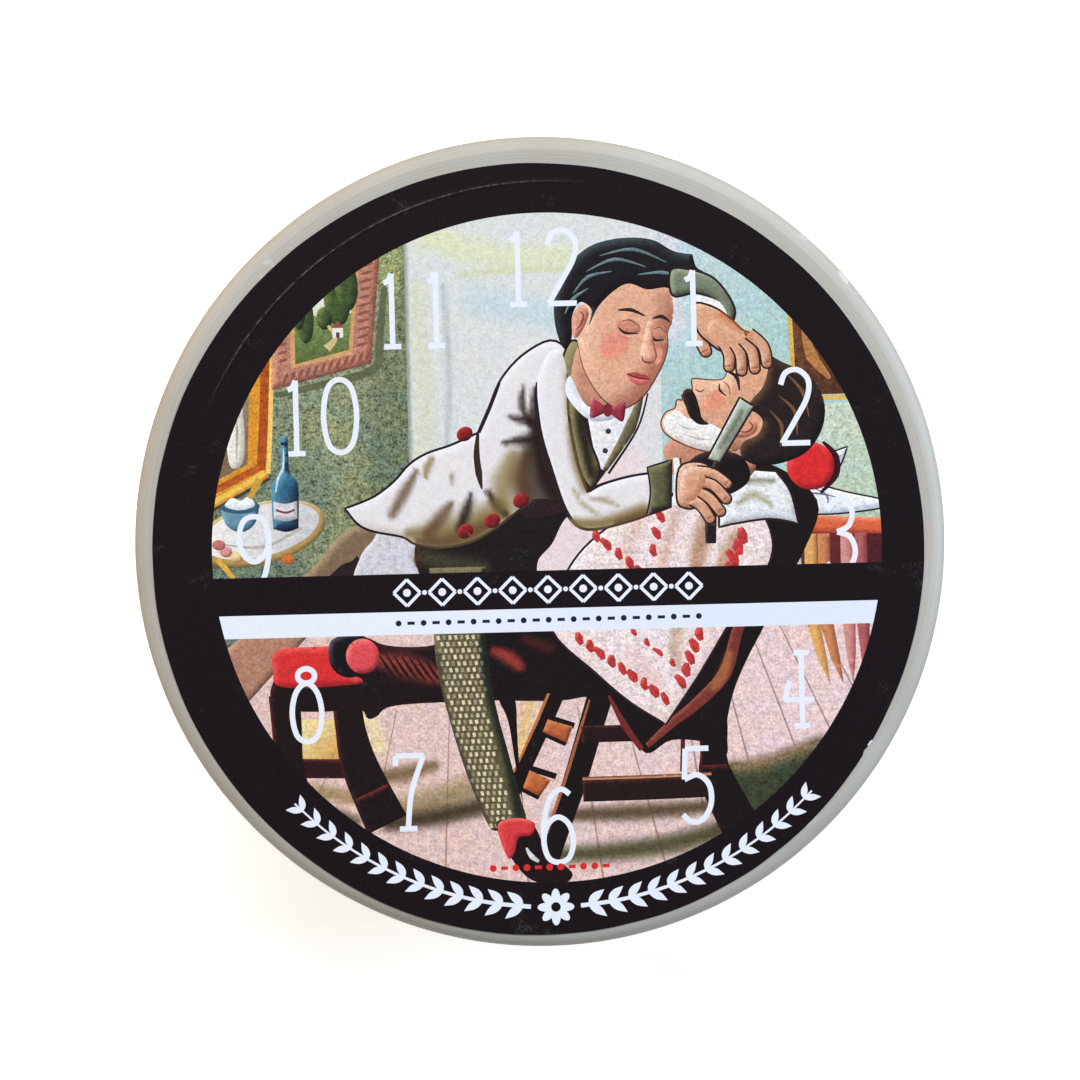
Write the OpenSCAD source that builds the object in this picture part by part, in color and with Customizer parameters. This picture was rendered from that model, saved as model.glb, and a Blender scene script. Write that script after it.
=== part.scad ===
// Screw-lidded tub of shaving soap: tub, poured soap, foam liner, lid, paper label.
// Origin at the centre of the base, +Z up, +Y towards the top of the label.

/* [Tub] */
// Outer diameter of the tub's wall below the neck
tub_d = 89.6; // [88:0.2:90.6]
// Height from the table to the neck's rim
tub_h = 50.4; // [46:0.2:70]
// Inner diameter at the rim
bore_d = 83.2; // [81:0.2:83.6]
// How much narrower the inside is at the floor, from the mould's draft
bore_draft = 0.8; // [0:0.1:2]
// Thickness of the floor above the base recess
floor_t = 1.8; // [1.2:0.1:3]
// Depth of the recess under the base
recess_h = 1.2; // [0.4:0.1:2]
// Width of the ring that the tub stands on
foot_w = 3.4; // [2:0.1:5]
// Rounding of the tub's outer bottom edge
foot_r = 2.2; // [1:0.1:3]
// Rounding between the inner wall and the floor
corner_r = 2.6; // [1:0.1:4]

/* [Neck and thread] */
// Outer diameter of the neck between the threads
neck_d = 86.4; // [86:0.1:87]
// Height of the neck above the tub's shoulder
neck_h = 13.9; // [13:0.1:16]
// Rise of the thread in one turn, five threads to the inch
pitch = 5.08; // [4.8:0.01:5.4]
// How far a thread ridge stands out
ridge_h = 1.1; // [0.9:0.05:1.2]
// Width of a ridge where it meets the wall
ridge_root = 2.2; // [1.6:0.1:2.2]
// Width of a ridge at its crest
ridge_crest = 0.9; // [0.6:0.1:1.2]
// Turns of thread on the neck
neck_turns = 1.15; // [1:0.05:1.3]
// Turns of thread in the lid
lid_turns = 1.25; // [1:0.05:1.4]
// Clearance between the neck and the lid
play = 0.35; // [0.3:0.01:0.4]

/* [Lid] */
// Outer diameter of the lid
lid_d = 92; // [91.5:0.1:94]
// Height of the lid
lid_h = 15.9; // [15:0.1:16.3]
// Thickness of the lid's top panel
panel_t = 1.6; // [1.2:0.1:2]
// Rounding of the lid's top edge
edge_r = 1.7; // [1:0.1:2.4]
// Rounding of the skirt's lower edge
hem_r = 0.4; // [0.2:0.05:0.5]
// How far the bead that holds the liner stands in
bead_h = 0.8; // [0.6:0.05:0.9]

/* [Liner] */
// Thickness of the pressed foam liner
liner_t = 0.95; // [0.8:0.05:0.95]
// Diameter of the liner
liner_d = 88.2; // [87.8:0.1:88.4]

/* [Soap] */
// Height of the poured soap at its middle
soap_h = 30.5; // [20:0.5:34]
// Height that the soap's rim climbs the wall
climb_h = 0.7; // [0:0.1:1.2]
// Width of that rim
climb_w = 1.6; // [1:0.1:3]
// Gap that the soap leaves as it shrinks from the wall
soap_gap = 0.12; // [0.1:0.02:0.4]

/* [Label] */
// Diameter of the hand-cut paper label
label_d = 87.8; // [80:0.1:88]
// Thickness of the paper and its glue
label_t = 0.12; // [0.1:0.01:0.2]
// How far the label sits to the right of the lid's centre
label_x = -0.23; // [-0.5:0.01:0.5]
// How far the label sits above the lid's centre
label_y = -0.84; // [-0.9:0.01:0.9]

/* [Hidden] */
$fn = 180;
STEPS = 72;                                  // sections in one turn of thread
RUN_OUT = 18;                                // degrees over which a ridge fades
BURY = 0.5;                                  // ridge root sunk into its wall
tub_r = tub_d / 2;
rim_r = bore_d / 2;                          // inside radius at the rim
floor_r = rim_r - bore_draft / 2;            // inside radius at the floor
neck_r = neck_d / 2;
crest_r = neck_r + ridge_h;
floor_z = recess_h + floor_t;
shoulder_z = tub_h - neck_h;
liner_gap = 0.05;                            // between the liner and the lid
lid_in_z = tub_h + liner_t + liner_gap;      // underside of the top panel
lid_z = lid_in_z + panel_t;                  // top of the lid
hem_z = lid_z - lid_h;                       // lower edge of the skirt
lid_r = lid_d / 2;
skirt_in_r = crest_r + play;                 // inside radius of the skirt
thread_z = shoulder_z + 4.1;                 // mid-height of the neck ridge's lower end
bead_z = tub_h - 0.4;                        // top of the liner bead

// A ridge section at one angle: four corners from the buried root to the crest.
// side is 1 for a ridge that stands outwards and -1 for one that stands inwards.
function section(wall_r, side, grow, a, z) =
    let (
        rise = max(grow * ridge_h, 0.02),
        slope = (ridge_root - ridge_crest) / 2 / ridge_h,
        in_r = wall_r - side * BURY,
        out_r = wall_r + side * (rise - 0.1 * (1 - grow)),
        low_w = ridge_root / 2 + slope * BURY,
        top_w = ridge_root / 2 - slope * rise
    )
    [for (p = [[in_r, -low_w], [out_r, -top_w], [out_r, top_w], [in_r, low_w]])
        [p[0] * cos(a), p[0] * sin(a), z + p[1]]];

// One helical ridge that winds up anticlockwise from angle a0 and height z0.
module ridge(wall_r, side, a0, z0, turns) {
    n = ceil(turns * STEPS);
    sweep = turns * 360;
    points = [for (i = [0:n])
        let (a = sweep * i / n, grow = min(1, a / RUN_OUT, (sweep - a) / RUN_OUT))
        each section(wall_r, side, grow, a0 + a, z0 + pitch * a / 360)];
    walls = [for (i = [0:n - 1], k = [0:3])
        let (p = 4 * i + k, q = 4 * i + (k + 1) % 4)
        each [[p, q, p + 4], [q, q + 4, p + 4]]];
    caps = [[3, 2, 1], [3, 1, 0], [4 * n, 4 * n + 1, 4 * n + 2], [4 * n, 4 * n + 2, 4 * n + 3]];
    faces = concat(walls, caps);
    polyhedron(points, side > 0 ? faces : [for (f = faces) [f[2], f[1], f[0]]], convexity = 6);
}

// Half section of the tub's outside, with its foot, shoulder and neck.
module tub_outside() {
    translate([0, foot_r]) square([tub_r, shoulder_z - foot_r - 0.6]);
    square([tub_r - foot_r, tub_h]);
    translate([tub_r - foot_r, foot_r]) circle(foot_r);
    polygon([[0, shoulder_z - 0.6], [tub_r, shoulder_z - 0.6], [tub_r - 0.6, shoulder_z],
        [0, shoulder_z]]);
    square([neck_r, tub_h - 0.5]);
    translate([0, tub_h - 1]) square([neck_r - 0.5, 1]);
    translate([neck_r - 0.5, tub_h - 0.5]) circle(0.5);
}

// Half section of the space inside the tub.
module tub_inside() {
    polygon([[0, floor_z + corner_r], [floor_r, floor_z + corner_r], [rim_r, tub_h + 1],
        [0, tub_h + 1]]);
    translate([0, floor_z]) square([floor_r - corner_r, corner_r + 1]);
    translate([floor_r - corner_r, floor_z + corner_r]) circle(corner_r);
}

// Recess under the base, with a stiffening ring and the mould's gate mark left standing.
module base_recess() {
    in_r = tub_r - foot_r - foot_w;
    difference() {
        translate([0, 0, -1]) cylinder(r = in_r, h = recess_h + 1);
        translate([0, 0, 0.4]) difference() {
            cylinder(r = 24, h = recess_h);
            translate([0, 0, -1]) cylinder(r = 22.8, h = recess_h + 2);
        }
        translate([0, 0, 0.5]) cylinder(r = 2.4, h = recess_h);
    }
}

module tub() color([0.83, 0.80, 0.74]) {
    difference() {
        rotate_extrude() difference() {
            tub_outside();
            tub_inside();
        }
        base_recess();
    }
    ridge(neck_r, 1, 0, thread_z, neck_turns);
}

module soap_puck() color([0.93, 0.89, 0.79]) {
    low_r = floor_r - soap_gap;
    top_z = floor_z + soap_h;
    lean = (rim_r - floor_r) / (tub_h + 1 - floor_z - corner_r);
    top_r = low_r + lean * (top_z + climb_h - floor_z - corner_r);
    rotate_extrude() {
        polygon([[0, floor_z + corner_r], [low_r, floor_z + corner_r], [top_r, top_z + climb_h],
            [top_r - climb_w, top_z], [0, top_z]]);
        translate([0, floor_z]) square([low_r - corner_r, corner_r + 1]);
        translate([low_r - corner_r, floor_z + corner_r]) circle(corner_r);
    }
}

module liner_wad() color([0.95, 0.95, 0.93])
    translate([0, 0, tub_h]) cylinder(d = liner_d, h = liner_t);

// Half section of the lid, with its rounded top edge and the bead that holds the liner.
module lid_section() {
    difference() {
        union() {
            translate([0, hem_z + hem_r]) square([lid_r, lid_h - hem_r - edge_r]);
            translate([0, hem_z]) square([lid_r - hem_r, lid_h - edge_r]);
            translate([lid_r - hem_r, hem_z + hem_r]) circle(hem_r);
            translate([0, lid_z - edge_r - 1]) square([lid_r - edge_r, edge_r + 1]);
            translate([lid_r - edge_r, lid_z - edge_r]) circle(edge_r);
        }
        translate([0, hem_z - 1]) square([skirt_in_r, lid_in_z - hem_z + 1]);
    }
    polygon([[skirt_in_r + 0.2, bead_z - 1], [skirt_in_r, bead_z - 1],
        [skirt_in_r - bead_h, bead_z - 0.2], [skirt_in_r - bead_h, bead_z],
        [skirt_in_r + 0.2, bead_z]]);
}

module lid_shell() color([0.80, 0.78, 0.73]) {
    rotate_extrude() lid_section();
    ridge(skirt_in_r, -1, 90, thread_z - pitch / 4, lid_turns);
}

module top_label() color([0.12, 0.09, 0.11])
    translate([label_x, label_y, lid_z]) cylinder(d = label_d, h = label_t);

tub();
soap_puck();
liner_wad();
lid_shell();
top_label();
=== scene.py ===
"""Screw-lidded tub of shaving soap: how the tub, soap, liner, lid and printed label look."""

from math import atan2, ceil, cos, degrees, hypot, pi, radians, sin, sqrt, tau

import bmesh
import bpy
import numpy as np
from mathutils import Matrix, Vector, noise
from mathutils.geometry import delaunay_2d_cdt


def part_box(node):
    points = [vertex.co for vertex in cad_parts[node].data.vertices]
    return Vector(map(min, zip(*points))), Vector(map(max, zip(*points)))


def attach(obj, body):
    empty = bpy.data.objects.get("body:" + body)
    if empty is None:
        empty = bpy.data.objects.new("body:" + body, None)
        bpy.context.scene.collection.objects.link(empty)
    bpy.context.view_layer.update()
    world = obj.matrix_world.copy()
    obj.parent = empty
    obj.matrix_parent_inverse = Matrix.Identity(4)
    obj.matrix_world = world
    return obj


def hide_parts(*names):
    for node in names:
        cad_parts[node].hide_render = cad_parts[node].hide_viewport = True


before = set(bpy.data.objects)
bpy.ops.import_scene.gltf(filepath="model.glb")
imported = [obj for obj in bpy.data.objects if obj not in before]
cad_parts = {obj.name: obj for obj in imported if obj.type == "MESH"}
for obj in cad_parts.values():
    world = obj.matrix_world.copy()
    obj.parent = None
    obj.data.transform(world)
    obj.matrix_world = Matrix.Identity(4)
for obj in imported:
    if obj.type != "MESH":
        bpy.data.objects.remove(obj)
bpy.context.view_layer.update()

MM = 0.001

# ---------------------------------------------------------------- places, from the frame


def box_mm(node):
    """Lowest and highest corners of a CAD node, in millimetres."""
    low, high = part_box(node)
    return [c / MM for c in low], [c / MM for c in high]


tub_low, tub_high = box_mm("tub")
soap_low, soap_high = box_mm("soap_puck")
liner_low, liner_high = box_mm("liner_wad")
lid_low, lid_high = box_mm("lid_shell")
label_low, label_high = box_mm("top_label")

TUB_R = (tub_high[0] - tub_low[0]) / 2
RIM_Z = tub_high[2]
LID_R = (lid_high[0] - lid_low[0]) / 2
LID_Z = lid_high[2]
HEM_Z = lid_low[2]
LINER_R = (liner_high[0] - liner_low[0]) / 2
LABEL_R = (label_high[0] - label_low[0]) / 2
LABEL_X = (label_high[0] + label_low[0]) / 2
LABEL_Y = (label_high[1] + label_low[1]) / 2
FLOOR_Z = soap_low[2]
SOAP_Z = soap_high[2]

# Sizes that the boxes don't give, the same as in the CAD model.
NECK_R = 43.2
NECK_H = 13.9
BORE_R = 41.6          # inside radius at the rim
FLOOR_R = 41.2         # inside radius at the floor
PITCH = 5.08
RIDGE_H = 1.1
RIDGE_ROOT = 2.2
RIDGE_CREST = 0.9
NECK_TURNS = 1.15
LID_TURNS = 1.25
PLAY = 0.35
EDGE_R = 1.7
PANEL_T = 1.6
FOOT_R = 2.2
FOOT_W = 3.4
RECESS = 1.2
CORNER_R = 2.6
SHOULDER_Z = RIM_Z - NECK_H
SKIRT_IN_R = NECK_R + RIDGE_H + PLAY
THREAD_Z = SHOULDER_Z + 4.1
BEAD_Z = RIM_Z - 0.4
BEAD_H = 0.8
SOAP_GAP = 0.12        # left as the soap shrinks from the wall
CLIMB_H, CLIMB_W = 0.7, 1.6     # how far the soap climbs the wall, and how wide that rim is
GATE_R, GATE_H = 2.4, 0.7       # pip of the moulding gate, in the middle of the base
STEP_R, STEP_W, STEP_H = 22.8, 1.2, 0.8     # round step in the base's recess
PANEL_R, PANEL_DIP = 40.4, 0.04     # the lid's top is a hair lower inside this radius
PRESS_H = 0.14         # how deep the rim presses into the liner

# How fine the meshes are.
AROUND = 288           # segments in a full turn
THREAD_STEP = 0.17     # height of a row of faces where there is thread
WALL_STEP = 6          # longest face on a plain wall
LONG, BRACE = 1.5, 0.3          # a stretch over LONG gets a ring of points this close to each end

# ---------------------------------------------------------------- small helpers


def smooth(t):
    """0 to 1 with soft ends."""
    t = min(1.0, max(0.0, t))
    return t * t * (3 - 2 * t)


def arc(cx, cz, r, start, end, steps=8):
    """Points (radius, height) on an arc, angles in degrees."""
    turns = [radians(start + (end - start) * i / steps) for i in range(steps + 1)]
    return [(cx + r * cos(a), cz + r * sin(a)) for a in turns]


def rows(r0, z0, r1, z1, step):
    """Points from one end of a straight wall to the other, with the last one left out."""
    n = max(1, ceil(hypot(r1 - r0, z1 - z0) / step))
    return [(r0 + (r1 - r0) * i / n, z0 + (z1 - z0) * i / n) for i in range(n)]


def ridge(turn, z, first, low_z, turns):
    """How far the thread stands out at this angle and height: 0 off the ridge, 1 on its crest."""
    best = 0.0
    for lap in range(-1, 4):
        along = turn - first + lap * tau
        if 0 < along < turns * tau:
            off = abs(z - low_z - PITCH * along / tau)
            side = (RIDGE_ROOT - RIDGE_CREST) / 2
            grow = smooth(min(along, turns * tau - along) / radians(24))
            best = max(best, grow * smooth((RIDGE_CREST / 2 + side - off) / side))
    return best


def braced(profile):
    """The profile as (row, radius, height), with doubled points left out and a point added near
    each end of a long stretch, so that smooth shading stays true on flats."""
    out = [(0, *profile[0])]
    for i, (r, z) in enumerate(profile[1:], 1):
        r0, z0 = profile[i - 1]
        far = hypot(r - r0, z - z0)
        if far < 1e-6:
            continue
        if far > LONG:
            for t, end in ((BRACE / far, r0), (1 - BRACE / far, r)):
                if end > 0:
                    out.append((i - 1, r0 + (r - r0) * t, z0 + (z - z0) * t))
        out.append((i, r, z))
    return out


def revolve(name, profile, shape=None):
    """A smooth solid of revolution. profile runs from axis to axis as (radius, height) in mm;
    shape(row, angle, radius, height) may move a point."""
    bm = bmesh.new()
    rings = []
    for i, r, z in braced(profile):
        if r < 1e-6:
            rings.append([bm.verts.new((0, 0, z * MM))])
            continue
        ring = []
        for k in range(AROUND):
            a = tau * k / AROUND
            pr, pz = shape(i, a, r, z) if shape else (r, z)
            ring.append(bm.verts.new((pr * cos(a) * MM, pr * sin(a) * MM, pz * MM)))
        rings.append(ring)
    for a, b in zip(rings, rings[1:]):
        for k in range(AROUND):
            n = (k + 1) % AROUND
            if len(a) == 1:
                bm.faces.new((a[0], b[n], b[k]))
            elif len(b) == 1:
                bm.faces.new((a[k], a[n], b[0]))
            else:
                bm.faces.new((a[k], a[n], b[n], b[k]))
    bmesh.ops.recalc_face_normals(bm, faces=bm.faces)
    return finished(name, bm)


def finished(name, bm):
    """Turns a bmesh into a smooth-shaded object in the scene."""
    mesh = bpy.data.meshes.new(name)
    bm.to_mesh(mesh)
    bm.free()
    mesh.shade_smooth()
    obj = bpy.data.objects.new(name, mesh)
    bpy.context.collection.objects.link(obj)
    return obj


# ---------------------------------------------------------------- materials


class Nodes:
    """A short way to write a node material."""

    def __init__(self, name):
        self.material = bpy.data.materials.new(name)
        self.material.use_nodes = True
        self.tree = self.material.node_tree
        self.shader = self.tree.nodes["Principled BSDF"]
        self.place = self.add("ShaderNodeTexCoord").outputs["Object"]

    def add(self, kind, inputs=None, **settings):
        node = self.tree.nodes.new(kind)
        for key, value in settings.items():
            setattr(node, key, value)
        for key, value in (inputs or {}).items():
            self.feed(node.inputs[key], value)
        return node

    def feed(self, socket, value):
        if isinstance(value, bpy.types.NodeSocket):
            self.tree.links.new(value, socket)
        else:
            socket.default_value = value

    def set(self, **inputs):
        for key, value in inputs.items():
            self.feed(self.shader.inputs[key.replace("_", " ")], value)

    def noise(self, scale, detail=3.0, rough=0.5, place=None, **settings):
        inputs = {"Scale": scale, "Detail": detail, "Roughness": rough}
        node = self.add("ShaderNodeTexNoise", inputs, **settings)
        socket = "W" if settings.get("noise_dimensions") == "1D" else "Vector"
        self.feed(node.inputs[socket], place or self.place)
        return node.outputs["Fac"]

    def math(self, operation, a, b=0.0, c=0.0, clamp=False):
        node = self.add("ShaderNodeMath", operation=operation, use_clamp=clamp)
        for socket, value in zip(node.inputs, (a, b, c)):
            self.feed(socket, value)
        return node.outputs[0]

    def fit(self, value, low, high, to_low=0.0, to_high=1.0):
        """Maps a stretch of values to another, with the ends held."""
        names = ("Value", "From Min", "From Max", "To Min", "To Max")
        inputs = dict(zip(names, (value, low, high, to_low, to_high)))
        return self.add("ShaderNodeMapRange", inputs).outputs["Result"]

    def mix(self, factor, a, b, blend="MIX"):
        node = self.add("ShaderNodeMix", data_type="RGBA", blend_type=blend)
        self.feed(node.inputs[0], factor)
        self.feed(node.inputs[6], a)
        self.feed(node.inputs[7], b)
        return node.outputs[2]

    def radius(self):
        """Distance from the tub's axis."""
        flat = self.add("ShaderNodeVectorMath", {0: self.place, 1: (1, 1, 0)}, operation="MULTIPLY")
        return self.add("ShaderNodeVectorMath", {0: flat.outputs[0]}, operation="LENGTH").outputs[1]

    def height(self):
        return self.add("ShaderNodeSeparateXYZ", {0: self.place}).outputs["Z"]

    def crease(self):
        """1 along the label's crease, fading at its ends and within a hair of its line."""
        middle = (CREASE_X * MM, CREASE_Y * MM, 0)
        off = self.add("ShaderNodeVectorMath", {0: self.place, 1: middle}, operation="SUBTRACT")
        flat = self.add("ShaderNodeVectorMath", {0: off.outputs[0], 1: (1, 1, 0)}, operation="MULTIPLY")
        far = self.add("ShaderNodeVectorMath", {0: flat.outputs[0]}, operation="LENGTH").outputs[1]
        line = self.fit(self.math("ABSOLUTE", self.math("SUBTRACT", far, CREASE_R * MM)),
                        0.00004, 0.00012, 1.0, 0.0)
        across = self.add("ShaderNodeSeparateXYZ", {0: off.outputs[0]})
        turn = self.math("ARCTAN2", across.outputs["Y"], across.outputs["X"])
        start = self.fit(turn, radians(84), radians(98))
        end = self.fit(turn, radians(146), radians(158), 1.0, 0.0)
        return self.math("MULTIPLY", line, self.math("MULTIPLY", start, end))

    def bump(self, height, distance, strength=1.0, after=None):
        node = self.add("ShaderNodeBump", {"Height": height, "Strength": strength})
        node.inputs["Distance"].default_value = distance
        if after:
            self.feed(node.inputs["Normal"], after)
        return node.outputs[0]


def grey(value, tint=(1.0, 1.0, 1.0)):
    return (value * tint[0], value * tint[1], value * tint[2], 1.0)


def moulded_plastic(name, pale, deep, filled=False, skirt=None):
    """Natural polypropylene: milky, with fine turning marks, cloudy flow and rubbed edges; a skirt colour,
    if given, is painted on as shade.
    """
    m = Nodes(name)
    streaks = m.noise(9000.0, 2.0, place=m.radius(), noise_dimensions="1D")
    cloud = m.noise(55.0, 4.0)
    grain = m.noise(1800.0, 2.0)
    colour = m.mix(m.fit(cloud, 0.35, 0.65), deep, pale)
    colour = m.mix(m.fit(streaks, 0.4, 0.62, 0.0, 0.16), colour, grey(0.9, (1, 0.99, 0.96)))
    if filled:
        # The soap shows through the wall up to its uneven fill line.
        wobble = m.math("MULTIPLY", m.noise(40.0, 1.0), 0.0016)
        line = m.math("SUBTRACT", m.height(), wobble)
        soap_top = (SOAP_Z - 1.2) * MM
        inside = m.fit(line, soap_top - 0.0009, soap_top + 0.0004, 1.0, 0.0)
        colour = m.mix(m.math("MULTIPLY", inside, 0.62), colour, (0.80, 0.70, 0.50, 1.0))
    if skirt:
        # Painted shade: the lower rounded edge and the skirt are painted darker and warmer than the top,
        # as the plastic looks seen along the wall.
        turned = m.fit(m.height(), (LID_Z - 1.1) * MM, (LID_Z - 0.3) * MM, 1.0, 0.0)
        colour = m.mix(m.math("MULTIPLY", turned, 0.85), colour, skirt)
    edge = m.add("ShaderNodeNewGeometry").outputs["Pointiness"]
    worn = m.math("MULTIPLY", m.fit(edge, 0.52, 0.6), m.fit(m.noise(700.0), 0.45, 0.6))
    colour = m.mix(m.math("MULTIPLY", worn, 0.35), colour, grey(0.85))
    scuffs = m.fit(m.noise(260.0, 6.0, 0.7), 0.56, 0.7, 0.0, 0.14)
    rough = m.math("ADD", m.fit(grain, 0.3, 0.7, 0.44, 0.54), scuffs)
    m.set(Base_Color=colour, Roughness=rough)
    m.set(IOR=1.49, Specular_IOR_Level=0.3)
    m.set(Subsurface_Weight=0.35, Subsurface_Radius=(1.0, 0.85, 0.6), Subsurface_Scale=0.0022)
    lines = m.bump(streaks, 0.00002, 0.35)
    m.set(Normal=m.bump(grain, 0.00001, 0.4, after=lines))
    return m.material


def soap_material():
    """Hard poured soap: waxy cream with pale swirls, pin holes (dented, and painted darker as shade) and a
    dry bloom.
    """
    m = Nodes("poured_soap")
    warp = m.noise(35.0, 2.0)
    swirl = m.noise(28.0, 5.0, 0.6)
    colour = m.mix(m.fit(swirl, 0.38, 0.62), (0.80, 0.70, 0.52, 1.0), (0.90, 0.84, 0.70, 1.0))
    bloom = m.fit(m.noise(160.0, 5.0, 0.65), 0.5, 0.72, 0.0, 0.4)
    colour = m.mix(bloom, colour, grey(0.93, (1, 0.98, 0.94)))
    cells = m.add("ShaderNodeTexVoronoi", {"Vector": m.place, "Scale": 420.0}).outputs["Distance"]
    holes = m.fit(cells, 0.07, 0.13, 1.0, 0.0)
    few = m.math("MULTIPLY", holes, m.fit(m.noise(90.0), 0.52, 0.6))
    # Painted shade: the colour darkens inside the pin holes, which the bump below also dents.
    colour = m.mix(m.math("MULTIPLY", few, 0.6), colour, (0.45, 0.36, 0.22, 1.0))
    rough = m.fit(warp, 0.3, 0.7, 0.38, 0.56)
    m.set(Base_Color=colour, Roughness=rough)
    m.set(Subsurface_Weight=0.3, Subsurface_Radius=(1.0, 0.8, 0.5), Subsurface_Scale=0.003)
    skin = m.bump(m.noise(230.0, 4.0), 0.00012, 0.5)
    m.set(Normal=m.bump(few, -0.0003, 0.8, after=skin))
    return m.material


def liner_material():
    """Pressed white foam with closed cells."""
    m = Nodes("pressed_foam")
    cells = m.add("ShaderNodeTexVoronoi", {"Vector": m.place, "Scale": 1900.0}).outputs["Distance"]
    cloud = m.noise(90.0)
    colour = m.mix(m.fit(cloud, 0.35, 0.65), grey(0.80), grey(0.90, (1, 1, 0.98)))
    m.set(Base_Color=colour, Roughness=m.fit(cells, 0.0, 0.6, 0.75, 0.55))
    m.set(Subsurface_Weight=0.2, Subsurface_Radius=(1.0, 1.0, 0.9), Subsurface_Scale=0.001)
    m.set(Normal=m.bump(cells, 0.00005, 0.6))
    return m.material


def floor_material():
    """Plain white studio paper."""
    m = Nodes("studio_paper")
    m.set(Base_Color=grey(0.93), Roughness=m.fit(m.noise(30.0), 0.3, 0.7, 0.85, 0.95))
    m.set(Emission_Color=grey(1.0), Emission_Strength=0.6)
    return m.material


# ---------------------------------------------------------------- moulded pieces


def make_tub():
    """The jar: foot ring, straight wall, stepped shoulder, threaded neck and bore."""
    foot_in = TUB_R - FOOT_R - FOOT_W
    step_out = STEP_R + STEP_W
    edge = 0.15        # bevel of the step's edges
    toe = 0.25         # rounding of the foot ring's inner edge
    cove = 0.4         # rounding where the ring meets the recess
    brow = 0.6         # rounding of the shoulder
    root = 0.5         # rounding at the foot of the neck, and of the rim
    lip = 0.3          # rounding of the rim's inner edge
    profile = [(0, RECESS - GATE_H), (GATE_R - 0.2, RECESS - GATE_H)]
    profile += arc(GATE_R - 0.2, RECESS - GATE_H + 0.2, 0.2, -90, 0, 3)
    profile += [(GATE_R, RECESS - 0.1), (GATE_R + 0.1, RECESS), (STEP_R - 0.2, RECESS)]
    profile += [(STEP_R, RECESS - edge), (STEP_R, RECESS - STEP_H + 0.1), (STEP_R + edge, RECESS - STEP_H)]
    profile += [(step_out - edge, RECESS - STEP_H), (step_out, RECESS - STEP_H + 0.1)]
    profile += [(step_out, RECESS - edge), (step_out + 0.2, RECESS), (foot_in - cove, RECESS)]
    profile += arc(foot_in - cove, RECESS - cove, cove, 90, 0, 4)
    profile += [(foot_in, toe), *arc(foot_in + toe, toe, toe, 180, 270, 3)]
    profile += arc(TUB_R - FOOT_R, FOOT_R, FOOT_R, -90, 0, 10)
    profile += rows(TUB_R, FOOT_R, TUB_R, SHOULDER_Z - brow, WALL_STEP)[1:]
    profile += arc(TUB_R - brow, SHOULDER_Z - brow, brow, 0, 90, 6)
    profile += arc(NECK_R + root, SHOULDER_Z + root, root, -90, -180, 5)
    first_neck = len(profile)
    profile += rows(NECK_R, SHOULDER_Z + root + 0.2, NECK_R, RIM_Z - root, THREAD_STEP)
    last_neck = len(profile)
    profile += arc(NECK_R - root, RIM_Z - root, root, 0, 90, 6)
    profile += arc(BORE_R + lip, RIM_Z - lip, lip, 90, 180, 4)
    profile += rows(BORE_R, RIM_Z - lip - 0.2, FLOOR_R, FLOOR_Z + CORNER_R, WALL_STEP)
    profile += arc(FLOOR_R - CORNER_R, FLOOR_Z + CORNER_R, CORNER_R, 0, -90, 8)
    profile += [(30, FLOOR_Z), (15, FLOOR_Z), (0, FLOOR_Z)]

    def threaded(i, a, r, z):
        if first_neck <= i < last_neck:
            r += RIDGE_H * ridge(a, z, 0, THREAD_Z, NECK_TURNS)
        return r, z

    return revolve("jar", profile, threaded)


def make_lid():
    """The cap: flat top, rounded edge, smooth skirt, internal thread and liner bead."""
    hem = 0.4          # rounding of the skirt's outer lower edge
    hem_in = 0.2       # and of its inner one
    cove = 0.3         # rounding where the panel meets the skirt
    under = LID_Z - PANEL_T
    low_top = LID_Z - PANEL_DIP
    profile = [(0, under), (20, under), (SKIRT_IN_R - cove, under)]
    profile += arc(SKIRT_IN_R - cove, under - cove, cove, 90, 0, 4)
    profile += [(SKIRT_IN_R, BEAD_Z + 0.1), (SKIRT_IN_R - BEAD_H + 0.1, BEAD_Z)]
    profile += [(SKIRT_IN_R - BEAD_H, BEAD_Z - 0.1), (SKIRT_IN_R - BEAD_H + 0.1, BEAD_Z - 0.25)]
    profile += [(SKIRT_IN_R, BEAD_Z - 1.05)]
    first = len(profile)
    profile += rows(SKIRT_IN_R, BEAD_Z - 1.2, SKIRT_IN_R, HEM_Z + 0.5, THREAD_STEP)
    last = len(profile)
    profile += arc(SKIRT_IN_R + hem_in, HEM_Z + hem_in, hem_in, 180, 270, 3)
    profile += arc(LID_R - hem, HEM_Z + hem, hem, -90, 0, 5)
    profile += rows(LID_R, HEM_Z + hem, LID_R, LID_Z - EDGE_R, 4)[1:]
    profile += arc(LID_R - EDGE_R, LID_Z - EDGE_R, EDGE_R, 0, 90, 14)
    profile += [(44, LID_Z), (PANEL_R + 0.2, LID_Z), (PANEL_R - 0.2, low_top), (20, low_top), (0, low_top)]

    def threaded(i, a, r, z):
        if first <= i < last:
            r -= RIDGE_H * ridge(a, z, pi / 2, THREAD_Z - PITCH / 4, LID_TURNS)
        return r, z

    return revolve("screw_lid", profile, threaded)


# ---------------------------------------------------------------- the label's drawing
# All sizes are millimetres from the middle of the printed picture, colours are 0 to 255, and a
# later layer covers an earlier one. The scene is a made-up barber's shop with made-up people.

PICTURE_R = 38.0
LAYERS = []
INK = (38, 24, 28)
WHITE = (226, 231, 243)
BLACK = (18, 8, 16)
SUN = (-0.6, 0.8)      # where the drawn light comes from
STROKE_RUN = 12        # points in one length of a painted line


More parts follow.
